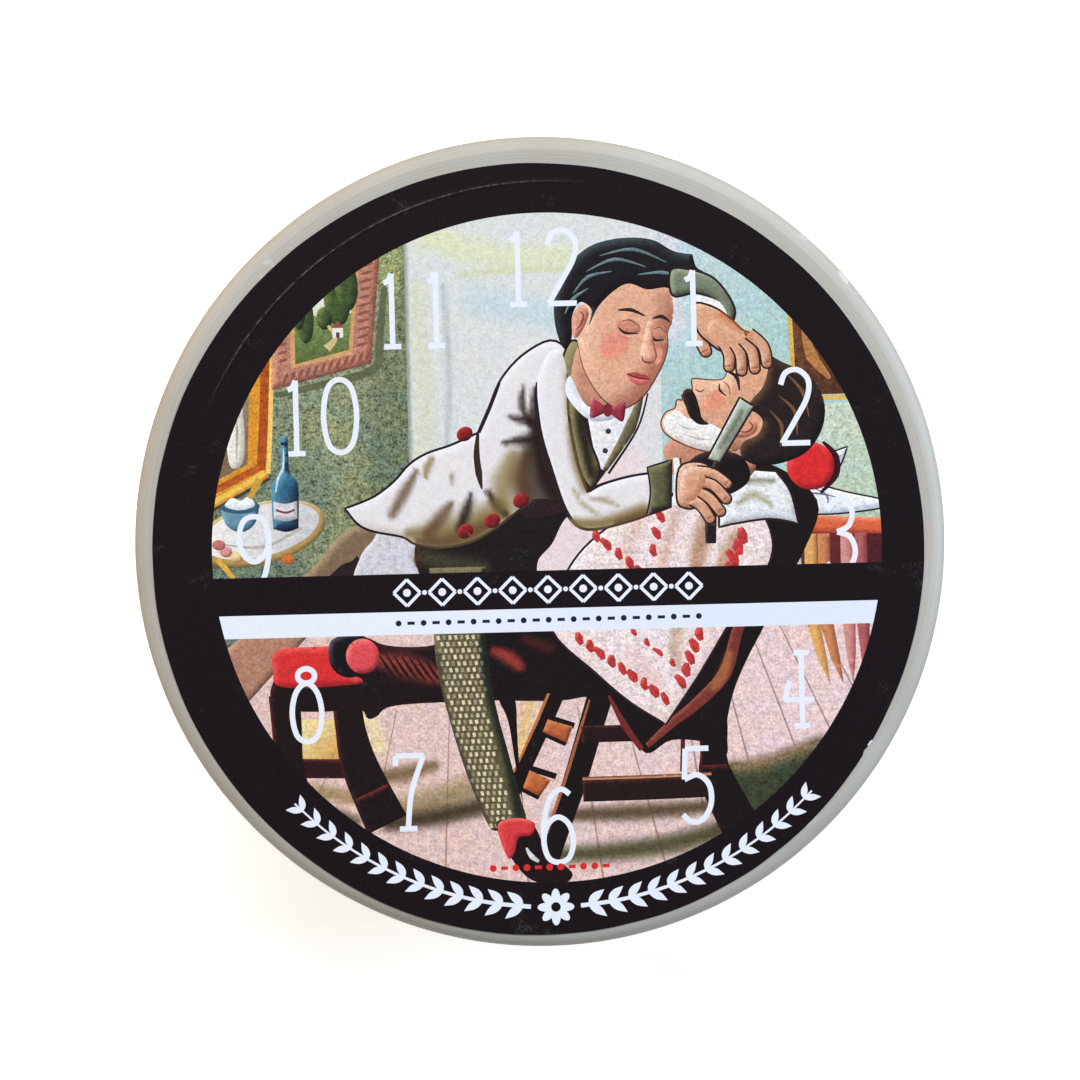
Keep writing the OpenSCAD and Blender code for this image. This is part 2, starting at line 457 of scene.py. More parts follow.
def curve(points, closed=True, steps=5):
    """A smooth line through a few points. A point with a third number is a corner."""
    p = np.array([q[:2] for q in points for _ in q[1:]], float)
    n = len(p)
    if closed:
        index = lambda i: i % n
        spans = range(n)
    else:
        index = lambda i: min(max(i, 0), n - 1)
        spans = range(n - 1)
    out = []
    for i in spans:
        a, b, c, d = (p[index(i + k)] for k in (-1, 0, 1, 2))
        if np.allclose(b, c):
            continue
        a = b if np.allclose(a, b) else a
        d = c if np.allclose(c, d) else d
        for k in range(steps):
            t = k / steps
            out.append(0.5 * (2 * b + (c - a) * t + (2 * a - 5 * b + 4 * c - d) * t * t
                              + (3 * b - a - 3 * c + d) * t ** 3))
    if not closed:
        out.append(p[-1])
    return np.array(out)


def oval(cx, cy, rx, ry, tilt=0.0, steps=28):
    turn = np.linspace(0, tau, steps, endpoint=False)
    return moved(np.c_[rx * np.cos(turn), ry * np.sin(turn)], cx, cy, 1, tilt)


def quad(x0, y0, x1, y1):
    return np.array([(x0, y0), (x1, y0), (x1, y1), (x0, y1)], float)


def paint(outline, colour, to=None, along=None, light=None, dark=None, soft=1.0, mottle=1.0,
          clip=True):
    """Adds a filled shape and gives back its layer number. It may fade to a second colour along a
    line, and be lit along its edge on the sunny side and shaded on the other, over a width of soft."""
    LAYERS.append(dict(outline=np.array(outline, float), colour=colour, to=to, along=along,
                       light=light, dark=dark, soft=soft, mottle=mottle, clip=clip))
    return len(LAYERS) - 1


def evenly(widths, n):
    """One or more widths, spread evenly over n points."""
    widths = np.atleast_1d(widths)
    return np.interp(np.linspace(0, 1, n), np.linspace(0, 1, len(widths)), widths)


def spray(since, *passes):
    """Soft tints over what was painted from layer number since onwards, fading out to the sides.
    Each pass is a line, its widths from end to end, a colour and a strength."""
    for points, widths, colour, strength in passes:
        line = curve(points, False, 4)
        LAYERS.append(dict(line=line, wide=evenly(widths, len(line)), colour=colour,
                           strength=strength, since=since, outline=None))


def ribbon(points, widths, closed=False, steps=5):
    """Both sides of a stroke along a smooth line."""
    line = curve(points, closed, steps)
    if closed:
        line = np.vstack([line, line[:1]])
    step = np.gradient(line, axis=0)
    if closed:
        step[0] = step[-1] = line[1] - line[-2]
    side = np.c_[-step[:, 1], step[:, 0]] / (np.hypot(*step.T)[:, None] + 1e-9)
    half = side * evenly(widths, len(line))[:, None] / 2
    return line + half, line - half


def stroke(points, widths, colour=INK, closed=False, steps=5, **more):
    """A painted line whose width may swell and taper, laid in lengths that can't cross themselves."""
    left, right = ribbon(points, widths, closed, steps)
    for k in range(0, len(left) - 1, STROKE_RUN):
        end = min(k + STROKE_RUN + 1, len(left))
        paint(np.vstack([left[k:end], right[k:end][::-1]]), colour, **more)


def outlined(outline, colour, ink=0.2, **more):
    """A filled shape with a thin ink line round it. Gives back the fill's layer number."""
    fill = paint(outline, colour, **more)
    stroke(outline, ink, closed=True, steps=1, mottle=0.3)
    return fill


def moved(outline, cx, cy, size, tilt=0.0, flip=False):
    """Turns, scales and moves points drawn round the origin."""
    p = np.array(outline, float) * size
    if flip:
        p[:, 0] *= -1
    c, s = cos(radians(tilt)), sin(radians(tilt))
    return np.c_[cx + p[:, 0] * c - p[:, 1] * s, cy + p[:, 0] * s + p[:, 1] * c]


# ---- the room


def draw_room():
    """Green papered wall, pale panelled door and a blue wall on the right."""
    wall = paint(quad(-39, -16, -15.4, 39), (138, 148, 120), to=(92, 112, 104),
        along=((0, 30), (0, -6)), mottle=3.3)
    spray(wall,
        ([(-16.5, 36), (-17, 20), (-18, 4)], [3, 4, 5], (92, 104, 84), 0.5),
        ([(-24, 14), (-22, 6), (-26, 0)], [5, 4, 4], (160, 164, 116), 0.35),
        ([(-17, 38), (-16.6, 30)], [3, 2], (176, 188, 120), 0.5))
    door = paint(quad(-15.4, -4, 15, 39), (208, 213, 214), to=(212, 212, 216),
        along=((-14, 34), (8, 8)), mottle=0.6)
    spray(door,
        ([(-13, 36), (-6, 33.4), (4, 33)], [3, 2.6, 2], (212, 218, 168), 0.6),
        ([(-7, 28), (0, 26.6), (4, 25)], [3, 3, 2], (178, 204, 214), 0.6),
        ([(-14, 30), (-13.4, 16), (-14, 6)], [1.6, 2, 2], (204, 208, 184), 0.7),
        ([(-11, 30), (-10.6, 20), (-11, 12)], [0.5, 0.6, 0.5], (168, 176, 178), 0.7),
        ([(-9.6, 31.2), (0, 31.6), (10, 31.2)], [0.5, 0.6, 0.5], (196, 204, 160), 0.8),
        ([(-2, 22), (-4, 16), (-8, 11)], [3, 3, 2], (224, 222, 226), 0.7))
    spray(wall, ([(-15.4, 37), (-15.3, 15), (-15.5, -3)], [0.5, 0.5, 0.6], (96, 106, 88), 0.6))
    spray(door, ([(-1, -3), (3, 1), (9, 9)], [5, 5, 4], (226, 206, 210), 0.85))
    blue = paint(quad(13.4, -4, 39, 39), (186, 206, 216), to=(164, 196, 198),
        along=((15, 34), (24, 22)), mottle=1)
    spray(blue,
        ([(14.6, 36), (15, 30), (15.2, 24)], [2, 2, 2], (214, 212, 222), 0.8),
        ([(19, 27), (24, 22), (27, 17)], [2, 3, 2], (206, 204, 160), 0.35))
    paint(quad(27, -4, 39, 15.6), (190, 203, 190), to=(172, 194, 178), along=((30, 15), (34, 2)),
        mottle=1.5)


def draw_landscape():
    """A small country view in a carved frame, hung a little askew."""
    outer = [(-30.8, 18.6), (-19.4, 21.4), (-18, 35), (-30.4, 35)]
    inner = [(-28, 21.5), (-21.9, 23), (-20.9, 34), (-28, 34)]
    stroke([(-30.4, 18), (-24.6, 19.2), (-19, 20.8), (-18.4, 24), (-17.7, 30)], [0.6, 1, 0.7],
        (92, 98, 74))
    paint(outer, (176, 122, 104), light=(216, 160, 130), dark=(120, 70, 66), soft=0.9, mottle=1.6)
    paint(np.array(inner) + [(-0.5, -0.5), (0.4, -0.5), (0.5, 0), (-0.5, 0)], (196, 152, 106))
    for i in range(12):
        x = -29.4 + 0.86 * i
        y = 19.9 + 0.22 * i
        stroke([(x, y - 0.5), (x + 0.5, y + 0.6)], [0.2, 0.45, 0.1], (132, 80, 74))
    for i in range(13):
        y = 23.4 + 0.9 * i
        x = -20.6 + 0.08 * i
        stroke([(x - 0.5, y), (x + 0.9, y + 0.35)], [0.1, 0.4, 0.15], (134, 82, 72))
    for i in range(9):
        y = 21.8 + 0.9 * i
        stroke([(-30, y), (-28.9, y + 0.3)], [0.1, 0.4, 0.15], (134, 82, 72))
    paint(inner, (196, 214, 220), to=(214, 216, 196), along=((0, 33), (0, 27)), mottle=0.8)
    paint(curve([(-28, 21.5, 0), (-21.9, 23, 0), (-21.5, 27.2, 0), (-24, 26.4), (-26, 27),
        (-28, 26.2, 0)]), (120, 138, 84), to=(84, 104, 58), along=((0, 27), (0, 22)), mottle=1.5)
    trees = ((-26.9, 27, 1.1, 3.2), (-27.7, 28.8, 1, 3.4), (-23.1, 28.6, 1.5, 2.9),
        (-22, 30.4, 1.3, 3), (-24.6, 26.6, 0.9, 1.3))
    for cx, cy, rx, ry in trees:
        paint(oval(cx, cy, rx, ry, 4), (62, 80, 44), light=(120, 136, 72), dark=(28, 44, 28), soft=0.9,
            mottle=1.6)
    stroke([(-24.4, 23.2), (-23.4, 24.4), (-24.2, 25.8)], [1, 0.5, 0.3], (196, 180, 132))
    paint(quad(-23.7, 24.4, -22.5, 25.5), (226, 220, 214), mottle=0.4)
    paint([(-23.9, 25.5), (-22.3, 25.5), (-23.1, 26.3)], (138, 78, 62), mottle=0.4)
    paint(quad(-23.3, 24.4, -22.9, 25), (90, 60, 60), mottle=0.2)


def draw_mirror():
    """Gilt mirror frame at the far left, with a pale curtain in the glass."""
    paint([(-38.5, 5), (-31.4, 8.8), (-30.5, 24), (-38.5, 26)], (206, 142, 44), mottle=1.5)
    stroke([(-31.4, 9.2), (-31, 15), (-30.6, 24)], 0.5, (232, 196, 104))
    stroke([(-32.2, 9.6), (-31.8, 15), (-31.3, 24)], 1, (164, 76, 30), mottle=1.8)
    stroke([(-38.5, 5.7), (-35, 7.5), (-31.8, 9.3)], 0.6, (228, 188, 84))
    stroke([(-38.5, 6.9), (-35, 8.6), (-32.4, 9.9)], 0.8, (172, 84, 34), mottle=1.8)
    stroke([(-38.5, 4.8), (-35, 6.6), (-31.2, 8.6)], 0.35, (70, 58, 40))
    paint([(-38.5, 7.9), (-33.7, 10.3), (-33, 26), (-38.5, 27)], (150, 132, 108), to=(116, 96, 76),
        along=((-36, 22), (-36, 9)), mottle=1.4)
    paint(curve([(-35.6, 10), (-34.2, 10.6), (-34, 15), (-34.6, 19.5), (-35.4, 17), (-36, 13)]),
        (222, 220, 214), light=(240, 240, 236), dark=(170, 160, 150), soft=0.8)
    stroke([(-35, 10.8), (-34.8, 14), (-35, 17.6)], [0.1, 0.3, 0.1], (176, 168, 158))


def draw_tray():
    """A tray with a blue bottle, a lather bowl and a brush."""
    stroke([(-38.5, -1.2), (-34, -0.8), (-29, 0.4), (-25.6, 3)], [0.6, 1.1, 0.5], (88, 90, 74))
    paint(oval(-32.4, 2.4, 7.6, 3.5, 13), (176, 148, 92), light=(222, 200, 140), dark=(110, 88, 50),
        soft=0.6, mottle=0.8)
    paint(oval(-32.4, 2.7, 6.8, 2.9, 13), (228, 228, 230), to=(196, 196, 202),
        along=((-36, 5), (-28, 1)), mottle=0.8)
    stroke([(-36.5, 1.2), (-32, 0.9), (-27.6, 3)], [0.15, 0.4, 0.15], (176, 170, 164))
    bottle = [(-31, 2.9, 0), (-31.1, 7.4), (-30.6, 8.6), (-30, 9.6), (-29.9, 13.4, 0),
        (-29.1, 13.4, 0), (-29, 9.6), (-28.4, 8.6), (-28, 7.4), (-28.1, 2.9, 0), (-29.5, 2.5)]
    paint(curve(bottle), (48, 96, 128), light=(96, 156, 184), dark=(14, 18, 36), soft=1.5, mottle=1)
    stroke([(-29.9, 12.6), (-29.6, 12.5), (-29.1, 12.6)], 0.3, (24, 40, 60))
    paint(curve([(-30.9, 4, 0), (-29.5, 3.7), (-28.2, 4, 0), (-28.2, 6, 0), (-29.5, 5.7),
        (-30.9, 6, 0)]), (206, 206, 214), dark=(140, 140, 160), soft=0.6)
    stroke([(-30.6, 5), (-29.5, 4.7), (-28.5, 5)], 0.25, (120, 60, 70))
    stroke([(-30.6, 7), (-30.3, 8.6), (-29.7, 9.8), (-29.6, 12)], [0.1, 0.3, 0.1], (190, 220, 236))
    bowl = [(-36.9, 5.4, 0), (-36.4, 3.6), (-35.2, 2.7), (-33.9, 2.8), (-32.9, 3.8), (-32.5, 5.5, 0)]
    paint(curve(bowl), (98, 140, 164), light=(160, 196, 210), dark=(34, 66, 92), soft=0.7)
    paint(oval(-34.7, 5.5, 2.25, 0.8), (52, 88, 112), mottle=0.8)
    paint(curve([(-36.4, 5.6), (-35.6, 6.5), (-34.6, 6.2), (-33.7, 6.6), (-33, 5.6), (-34.7, 5.1)]),
        (236, 238, 242), dark=(186, 194, 206), soft=0.5)
    stroke([(-33.6, 6.4), (-32.4, 8.6)], [0.5, 0.9], (196, 150, 62))
    stroke([(-37.4, -0.4), (-35.6, -2.6)], [0.7, 0.5], (214, 168, 66))
    for x, y, tone in ((-36.4, 0.4, (214, 150, 150)), (-35.2, -0.2, (226, 206, 150)),
            (-37.2, 1.2, (196, 120, 120)), (-29.4, -0.6, (204, 110, 50))):
        paint(oval(x, y, 0.75, 0.6), tone, dark=(130, 80, 60), soft=0.4)


def draw_right_side():
    """Part of a dark picture in a gilt frame, and a small red table with a folded cloth."""
    paint([(28.6, 16.6), (39, 16.6), (39, 30), (27.8, 30)], (112, 72, 46), to=(80, 48, 32),
        along=((29, 28), (33, 18)), mottle=2.4)
    stroke([(28, 30), (28.3, 23), (28.5, 16.4)], 0.5, (206, 170, 84))
    stroke([(28.3, 16.4), (33, 16.2), (39, 16.3)], 0.6, (212, 178, 96))
    stroke([(29.6, 24.5), (30.6, 21), (32.6, 18.4)], [0.3, 1.4, 0.4], (170, 116, 70), mottle=1.6)
    stroke([(28.9, 19.8), (30.4, 18.2)], [0.2, 0.8, 0.2], (60, 34, 26))
    paint([(25.5, 3.2), (39, 2.4), (39, 0.6), (28.6, 1)], (206, 96, 62), light=(236, 150, 110),
        dark=(150, 56, 44), soft=0.6)
    paint([(28.6, 1), (39, 0.6), (39, -4), (28.9, -4)], (104, 40, 44), to=(70, 26, 32),
        along=((30, 0), (36, -4)), mottle=1.4)
    for x, tone, edge in ((29.2, (216, 166, 96), (150, 92, 60)), (30.7, (196, 128, 84), (120, 60, 50)),
            (33.3, (200, 140, 136), (140, 70, 74)), (34.9, (170, 92, 94), (104, 44, 50))):
        bend = 1.8 if x < 32 else 0.3
        leg = [(x, 0.8), (x + 1.4, 0.8), (x + 1.5, -9), (x + 1.3 + bend / 2, -13),
            (x + 0.8 + bend, -16.4), (x + 0.3 + bend / 2, -13.4), (x, -9)]
        paint(leg, tone, light=tone, dark=edge, soft=0.7)
    cloth = [(24.2, 5.6, 0), (27.5, 7.4), (30.4, 9.2), (34.4, 10.6, 0), (33.4, 8.2), (31.6, 6.2, 0),
        (34.4, 5.4), (38.5, 4.4), (38.5, 3.6), (33, 3), (28.6, 3.2), (25, 4.2)]
    outlined(curve(cloth), (226, 230, 238), light=(242, 244, 248), dark=(168, 178, 196), soft=1)
    for bend in ([(25.6, 5.4), (29.4, 6.6), (33.6, 9.6)], [(26.4, 4.6), (30, 5.4), (33.4, 4.8)],
            [(30.6, 5.9), (31.9, 5.1), (32, 3.8)]):
        stroke(bend, [0.08, 0.26, 0.08], (104, 112, 132), mottle=0.4)


def draw_floor():
    """Pale boards in perspective, with soft olive shadows."""
    boards = [(-39, -18), (-27, -9), (39, -9), (39, -40), (-39, -40)]
    floor = paint(boards, (222, 198, 202), to=(214, 186, 183), along=((24, -10), (-24, -30)),
        mottle=1.3)
    paint([(-39, -12.5), (-34.5, -9), (-27, -9), (-36, -18.5), (-39, -21.5)], (168, 124, 104),
        light=(200, 154, 128), dark=(96, 66, 58), soft=0.8, mottle=1.3)
    paint([(-39, -9), (-34.8, -9), (-39, -12.3)], (104, 118, 112), mottle=1.8)
    for x0, x1 in ((14, 17), (18.5, 23.5), (22.5, 30), (26, 35.5), (30.5, 41)):
        stroke([(x0, -9), (x1, -30)], [0.14, 0.26], (164, 132, 134))
    for x0, x1 in ((-22, -32), (-17.5, -22), (-11.5, -12.5), (-7, -3), (3, 5.5), (8, 13)):
        stroke([(x0, -18), (x1, -38)], [0.12, 0.24], (170, 136, 128))
    rug = [(19, -25.4), (23, -25), (27, -23.8), (31, -22.4), (37, -23), (36, -36), (18, -38),
        (18.6, -31)]
    paint(curve(rug), (54, 62, 46), light=(126, 112, 84), dark=(40, 46, 36), soft=1.8, mottle=2.4)
    spray(floor,
        ([(19.5, -25.2), (24, -24.7), (30.6, -22.4)], [0.9, 1, 0.9], (122, 104, 82), 0.8),
        ([(-21, -18.4), (-19.6, -22)], [2, 1.6], (226, 216, 160), 0.7),
        ([(-2.4, -18), (-3.8, -23)], [1.6, 1.2], (222, 186, 124), 0.8),
        ([(-30, -18.6), (-29.6, -23)], [2, 2], (224, 208, 160), 0.7),
        ([(-20.4, -25.6), (-17, -25.3), (-13.4, -24.4)], [1.3, 1.6, 1], (104, 84, 52), 0.85),
        ([(-18.6, -29.6), (-13, -28.4), (-8, -26.8)], [2.2, 2.8, 2.6], (134, 116, 76), 0.75),
        ([(-18.6, -30.9), (-13, -30.2), (-8, -29.2)], [1.5, 1.8, 1.6], (58, 48, 32), 0.95),
        ([(-29.6, -26.8), (-26, -27.2), (-23, -27.8)], [1.2, 1.4, 1.2], (140, 120, 74), 0.8),
        ([(-28.6, -29.4), (-25, -29.8), (-22.6, -30.6)], [1.3, 1.4, 1.2], (60, 58, 36), 0.85),
        ([(0.4, -30.4), (9, -30.3), (18, -29.8)], [1.2, 1.6, 1.3], (80, 66, 46), 0.95),
        ([(-0.6, -35), (8, -34.6), (14, -33.8), (19.5, -32.4)], [1.4, 1.9, 2, 2], (70, 68, 44), 0.95))


def draw_footrest():
    """Upholstered footrest and the sitter's outstretched legs."""
    wood = (24, 13, 16)
    paint(quad(-29, -23.6, -23.4, -18.8), (228, 212, 156), to=(204, 158, 92),
        along=((-28, -20), (-25, -23.4)))
    stroke([(-30.4, -24.3), (-24, -24.5), (-20.6, -24.5)], 2.2, (40, 16, 20), light=(110, 52, 46),
        soft=0.4)
    for leg, widths in (([(-30.2, -16), (-30, -20), (-29.8, -24), (-28.6, -29)], [3.6, 3.4, 3.2, 3]),
            ([(-23.2, -16), (-22.8, -20), (-21.8, -24.4), (-18.9, -31)], [3.2, 3.4, 4.2, 5])):
        stroke(leg, widths, wood, light=(112, 44, 42), soft=0.5)
    rail = [(-31.4, -14.4, 0), (-31.8, -16), (-30.8, -17.6), (-26, -18), (-21.8, -17.8),
        (-20.8, -18.9), (-19.8, -18.7), (-17.6, -17.5), (-8, -17.2), (4, -17), (8, -12, 0),
        (-10, -12.4), (-22, -12.4, 0)]
    paint(curve(rail), wood, light=(70, 30, 32), soft=0.7)
    cushion = [(-30.9, -10.9), (-26.5, -10.6), (-24.6, -10.8), (-23.8, -13.2), (-21.4, -14.4),
        (-22.4, -15), (-30.4, -15.1), (-31.4, -13)]
    paint(curve(cushion), (206, 46, 48), light=(232, 88, 84), dark=(140, 26, 34), soft=0.9)
    thighs = [(-22.4, -9, 0), (-20.4, -9.8), (-18.6, -10.6), (-15.2, -10.9), (-12.4, -10.5),
        (-11, -9, 0), (8, -9, 0), (6, -16.6), (-6, -16.4), (-14, -15.6), (-20.6, -14.4), (-22.8, -12.4)]
    cloth = paint(curve(thighs), (26, 14, 18), light=(60, 30, 34), soft=0.6, mottle=1.8)
    spray(cloth, ([(-19.6, -12.2), (-16.4, -13), (-12.6, -14.2)], [1.2, 2.2, 1.6], (148, 60, 52), 0.9))
    for i in range(9):
        x = -19.4 + 0.86 * i
        stroke([(x, -11.6 - 0.1 * i), (x + 1, -13.2 - 0.1 * i), (x + 1.9, -14.4 - 0.1 * i)],
            [0.1, 0.4, 0.1], (36, 16, 20), mottle=1.4)
    boot = [(-24.9, -10.2), (-23.6, -9.4), (-21.6, -9.2), (-20.6, -11), (-20.8, -13.4), (-22.4, -14.2),
        (-24, -13.8), (-25, -12.4)]
    paint(curve(boot), (18, 13, 19), light=(84, 84, 100), soft=0.7)
    paint(oval(-21.2, -11.8, 1.9, 2, 10), (212, 76, 82), light=(236, 124, 118), dark=(130, 30, 40),
        soft=0.7)


def draw_chair():
    """Barber's chair: slanted back, crossed rails and a slatted step."""
    wood, shine = (20, 12, 15), (110, 40, 40)
    stroke([(1.4, -15), (-0.6, -19.4), (-3.4, -25.2), (-5.6, -30)], [1.9, 1.8, 1.6], wood)
    stroke([(0.2, -15.6), (-1.7, -19.8), (-4.4, -25.4)], [0.3, 0.35, 0.2], (176, 108, 60))
    for slat in ([(-0.4, -19.5), (2.4, -20.4), (1.7, -22.2), (-1, -20.9)],
            [(-2.6, -25.2), (-0.2, -26.4), (-1.5, -28.2), (-3.4, -27.2)]):
        x, y = slat[0]
        stroke([(x - 0.2, y + 0.3), (x + 3, y - 0.8)], 0.7, wood)
        stroke([slat[3], slat[2]], 0.9, wood)
        paint(slat, (180, 96, 54), light=(212, 134, 84), dark=(112, 52, 36), soft=0.6)
    stroke([(6.6, -14), (4.5, -20.4), (2.5, -26.6), (0.4, -32.4), (-0.8, -36)],
        [3, 2.8, 2.7, 2.4, 2.2], wood)
    stroke([(4.4, -17.4), (3, -21.6), (1.2, -27), (-0.8, -32.4)], [0.2, 0.34, 0.34, 0.3], (158, 92, 66))
    stroke([(17, -15), (18.3, -20), (18.3, -24), (18.7, -27), (21.6, -33)], [5, 3.3, 3, 4, 4.6], wood,
        light=(104, 36, 38), soft=0.4)
    stroke([(14.9, -22), (14.7, -25.8)], 0.5, (84, 28, 34))
    for y, wide, tone in ((-21.3, 1.9, (34, 13, 18)), (-27.7, 2.5, (30, 18, 16)),
            (-26.3, 0.35, (206, 150, 110))):
        stroke([(3.4, y), (11, y + 0.05), (18, y + 0.2)], wide, tone, light=(86, 42, 36), soft=0.3)
    back = [(25, 9), (30.8, 4.6), (29.2, -1), (26.6, -5.2), (24.5, -9.4), (22.4, -13.2), (20.8, -16.8),
        (19.9, -20.6), (19.8, -24), (17.6, -22.6), (13.6, -22.2), (10.6, -23.6), (8.2, -19.8),
        (6.4, -16.6), (4.2, -13), (2, -9), (10, 2), (18, 8)]
    slab = paint(curve(back), wood, light=(54, 26, 30), soft=0.6)
    stroke([(25, -4), (21.7, -9.2), (19.9, -14.6), (16.8, -17.9), (13.8, -20.2), (10.8, -22.8)],
        [0.9, 1.2, 1.5, 1.3, 1, 0.6], (112, 46, 42), light=(150, 80, 62), soft=0.45)
    spray(slab, ([(20.4, -12.6), (19.6, -15), (18.4, -16.4)], [0.7, 1, 0.7], (166, 106, 62), 0.85))
    stroke([(6.6, -17), (8.2, -20.2), (10.2, -23.2)], [0.3, 0.75, 0.6], shine)
    paint(oval(30.2, 8.5, 2.8, 2.7, -28), (206, 40, 44), light=(232, 76, 72), dark=(120, 18, 30),
        soft=0.9)
    stroke([(31.6, 11.2), (33, 9.6), (33, 7.4), (31.2, 5.4)], [0.3, 0.7, 0.7, 0.3], (48, 14, 24))


# ---- the people


def draw_cape():
    """White barber's cape with rows of red flecks, and a towel on the chest."""
    body = [(0.4, -9.5), (1.4, -4.6), (3.6, -0.8), (7.4, 2.4), (12, 4.6), (18, 6.4), (23.4, 4.6),
        (25.6, 0.4), (24.6, -3.6), (20.6, -9), (16.8, -15), (13, -20.4, 0), (9, -17.8), (5.2, -14.4)]
    cape = outlined(curve(body), (226, 212, 216), ink=0.26, light=(240, 232, 236),
        dark=(212, 190, 192), soft=1.4, mottle=1.4)
    spray(cape,
        ([(18.6, 3), (17.6, 0.6), (16.8, -3)], [1.6, 1.8, 1.2], (150, 104, 72), 0.7),
        ([(21.4, 1), (20.4, -1), (19.6, -3)], [1, 1.4, 1], (170, 126, 92), 0.7),
        ([(15, 4), (14, 1), (13, -2.4)], [1.2, 1.2, 1], (196, 156, 138), 0.6),
        ([(11, 3.6), (9.6, 0.6), (9, -2.4)], [1.2, 1.4, 1], (206, 172, 160), 0.6),
        ([(14.6, -9.6), (14.2, -12), (14.6, -14)], [1.2, 1.2, 0.8], (172, 142, 112), 0.6),
        ([(9.6, -12.4), (12, -15.6)], [1.4, 1.4], (212, 172, 172), 0.5))
    # Rows of flecks run along the folds, from small to large.
    for first, last, count, size in (((3.4, -10.4), (13, -17.5), 9, 1.15),
            ((9.6, -9.8), (13.9, -13.4), 4, 0.75), ((17, -10.2), (14.9, -15.6), 5, 1.25),
            ((5.6, 1.2), (10.6, -3), 5, 1.1), ((13, 3.2), (12, -0.6), 3, 1.1),
            ((22.2, 0.8), (20.6, -3), 4, 1.5)):
        way = np.array(last) - first
        for k in range(count):
            x, y = first + way * (k / (count - 1))
            lean = 0.45 * sin(2.3 * k + first[0])
            stroke([(x - 0.3 - lean, y + 0.62 * size), (x, y), (x + 0.3, y - 0.62 * size)],
                [0.4 * size, size * (0.85 + 0.15 * sin(3 * k)), 0.4 * size], (176, 50, 54),
                light=(206, 92, 88), soft=0.35, mottle=1.8)
    towel = [(17.6, 7.8, 0), (21, 8.4), (26.2, 8, 0), (27.8, 5.6), (28.6, 2, 0), (25.4, 2.6),
        (21.6, 2.2), (19.6, 1.8, 0), (19.4, 4.4)]
    cloth = outlined(curve(towel), (222, 226, 232), ink=0.26, light=(238, 240, 246),
        dark=(158, 160, 168), soft=1)
    spray(cloth,
        ([(20, 7.4), (23, 7), (26, 6.9)], [0.5, 0.6, 0.5], (116, 118, 96), 0.85),
        ([(21.8, 4.4), (23.6, 5.4), (25.6, 4.2)], [0.5, 0.7, 0.5], (138, 130, 92), 0.7))


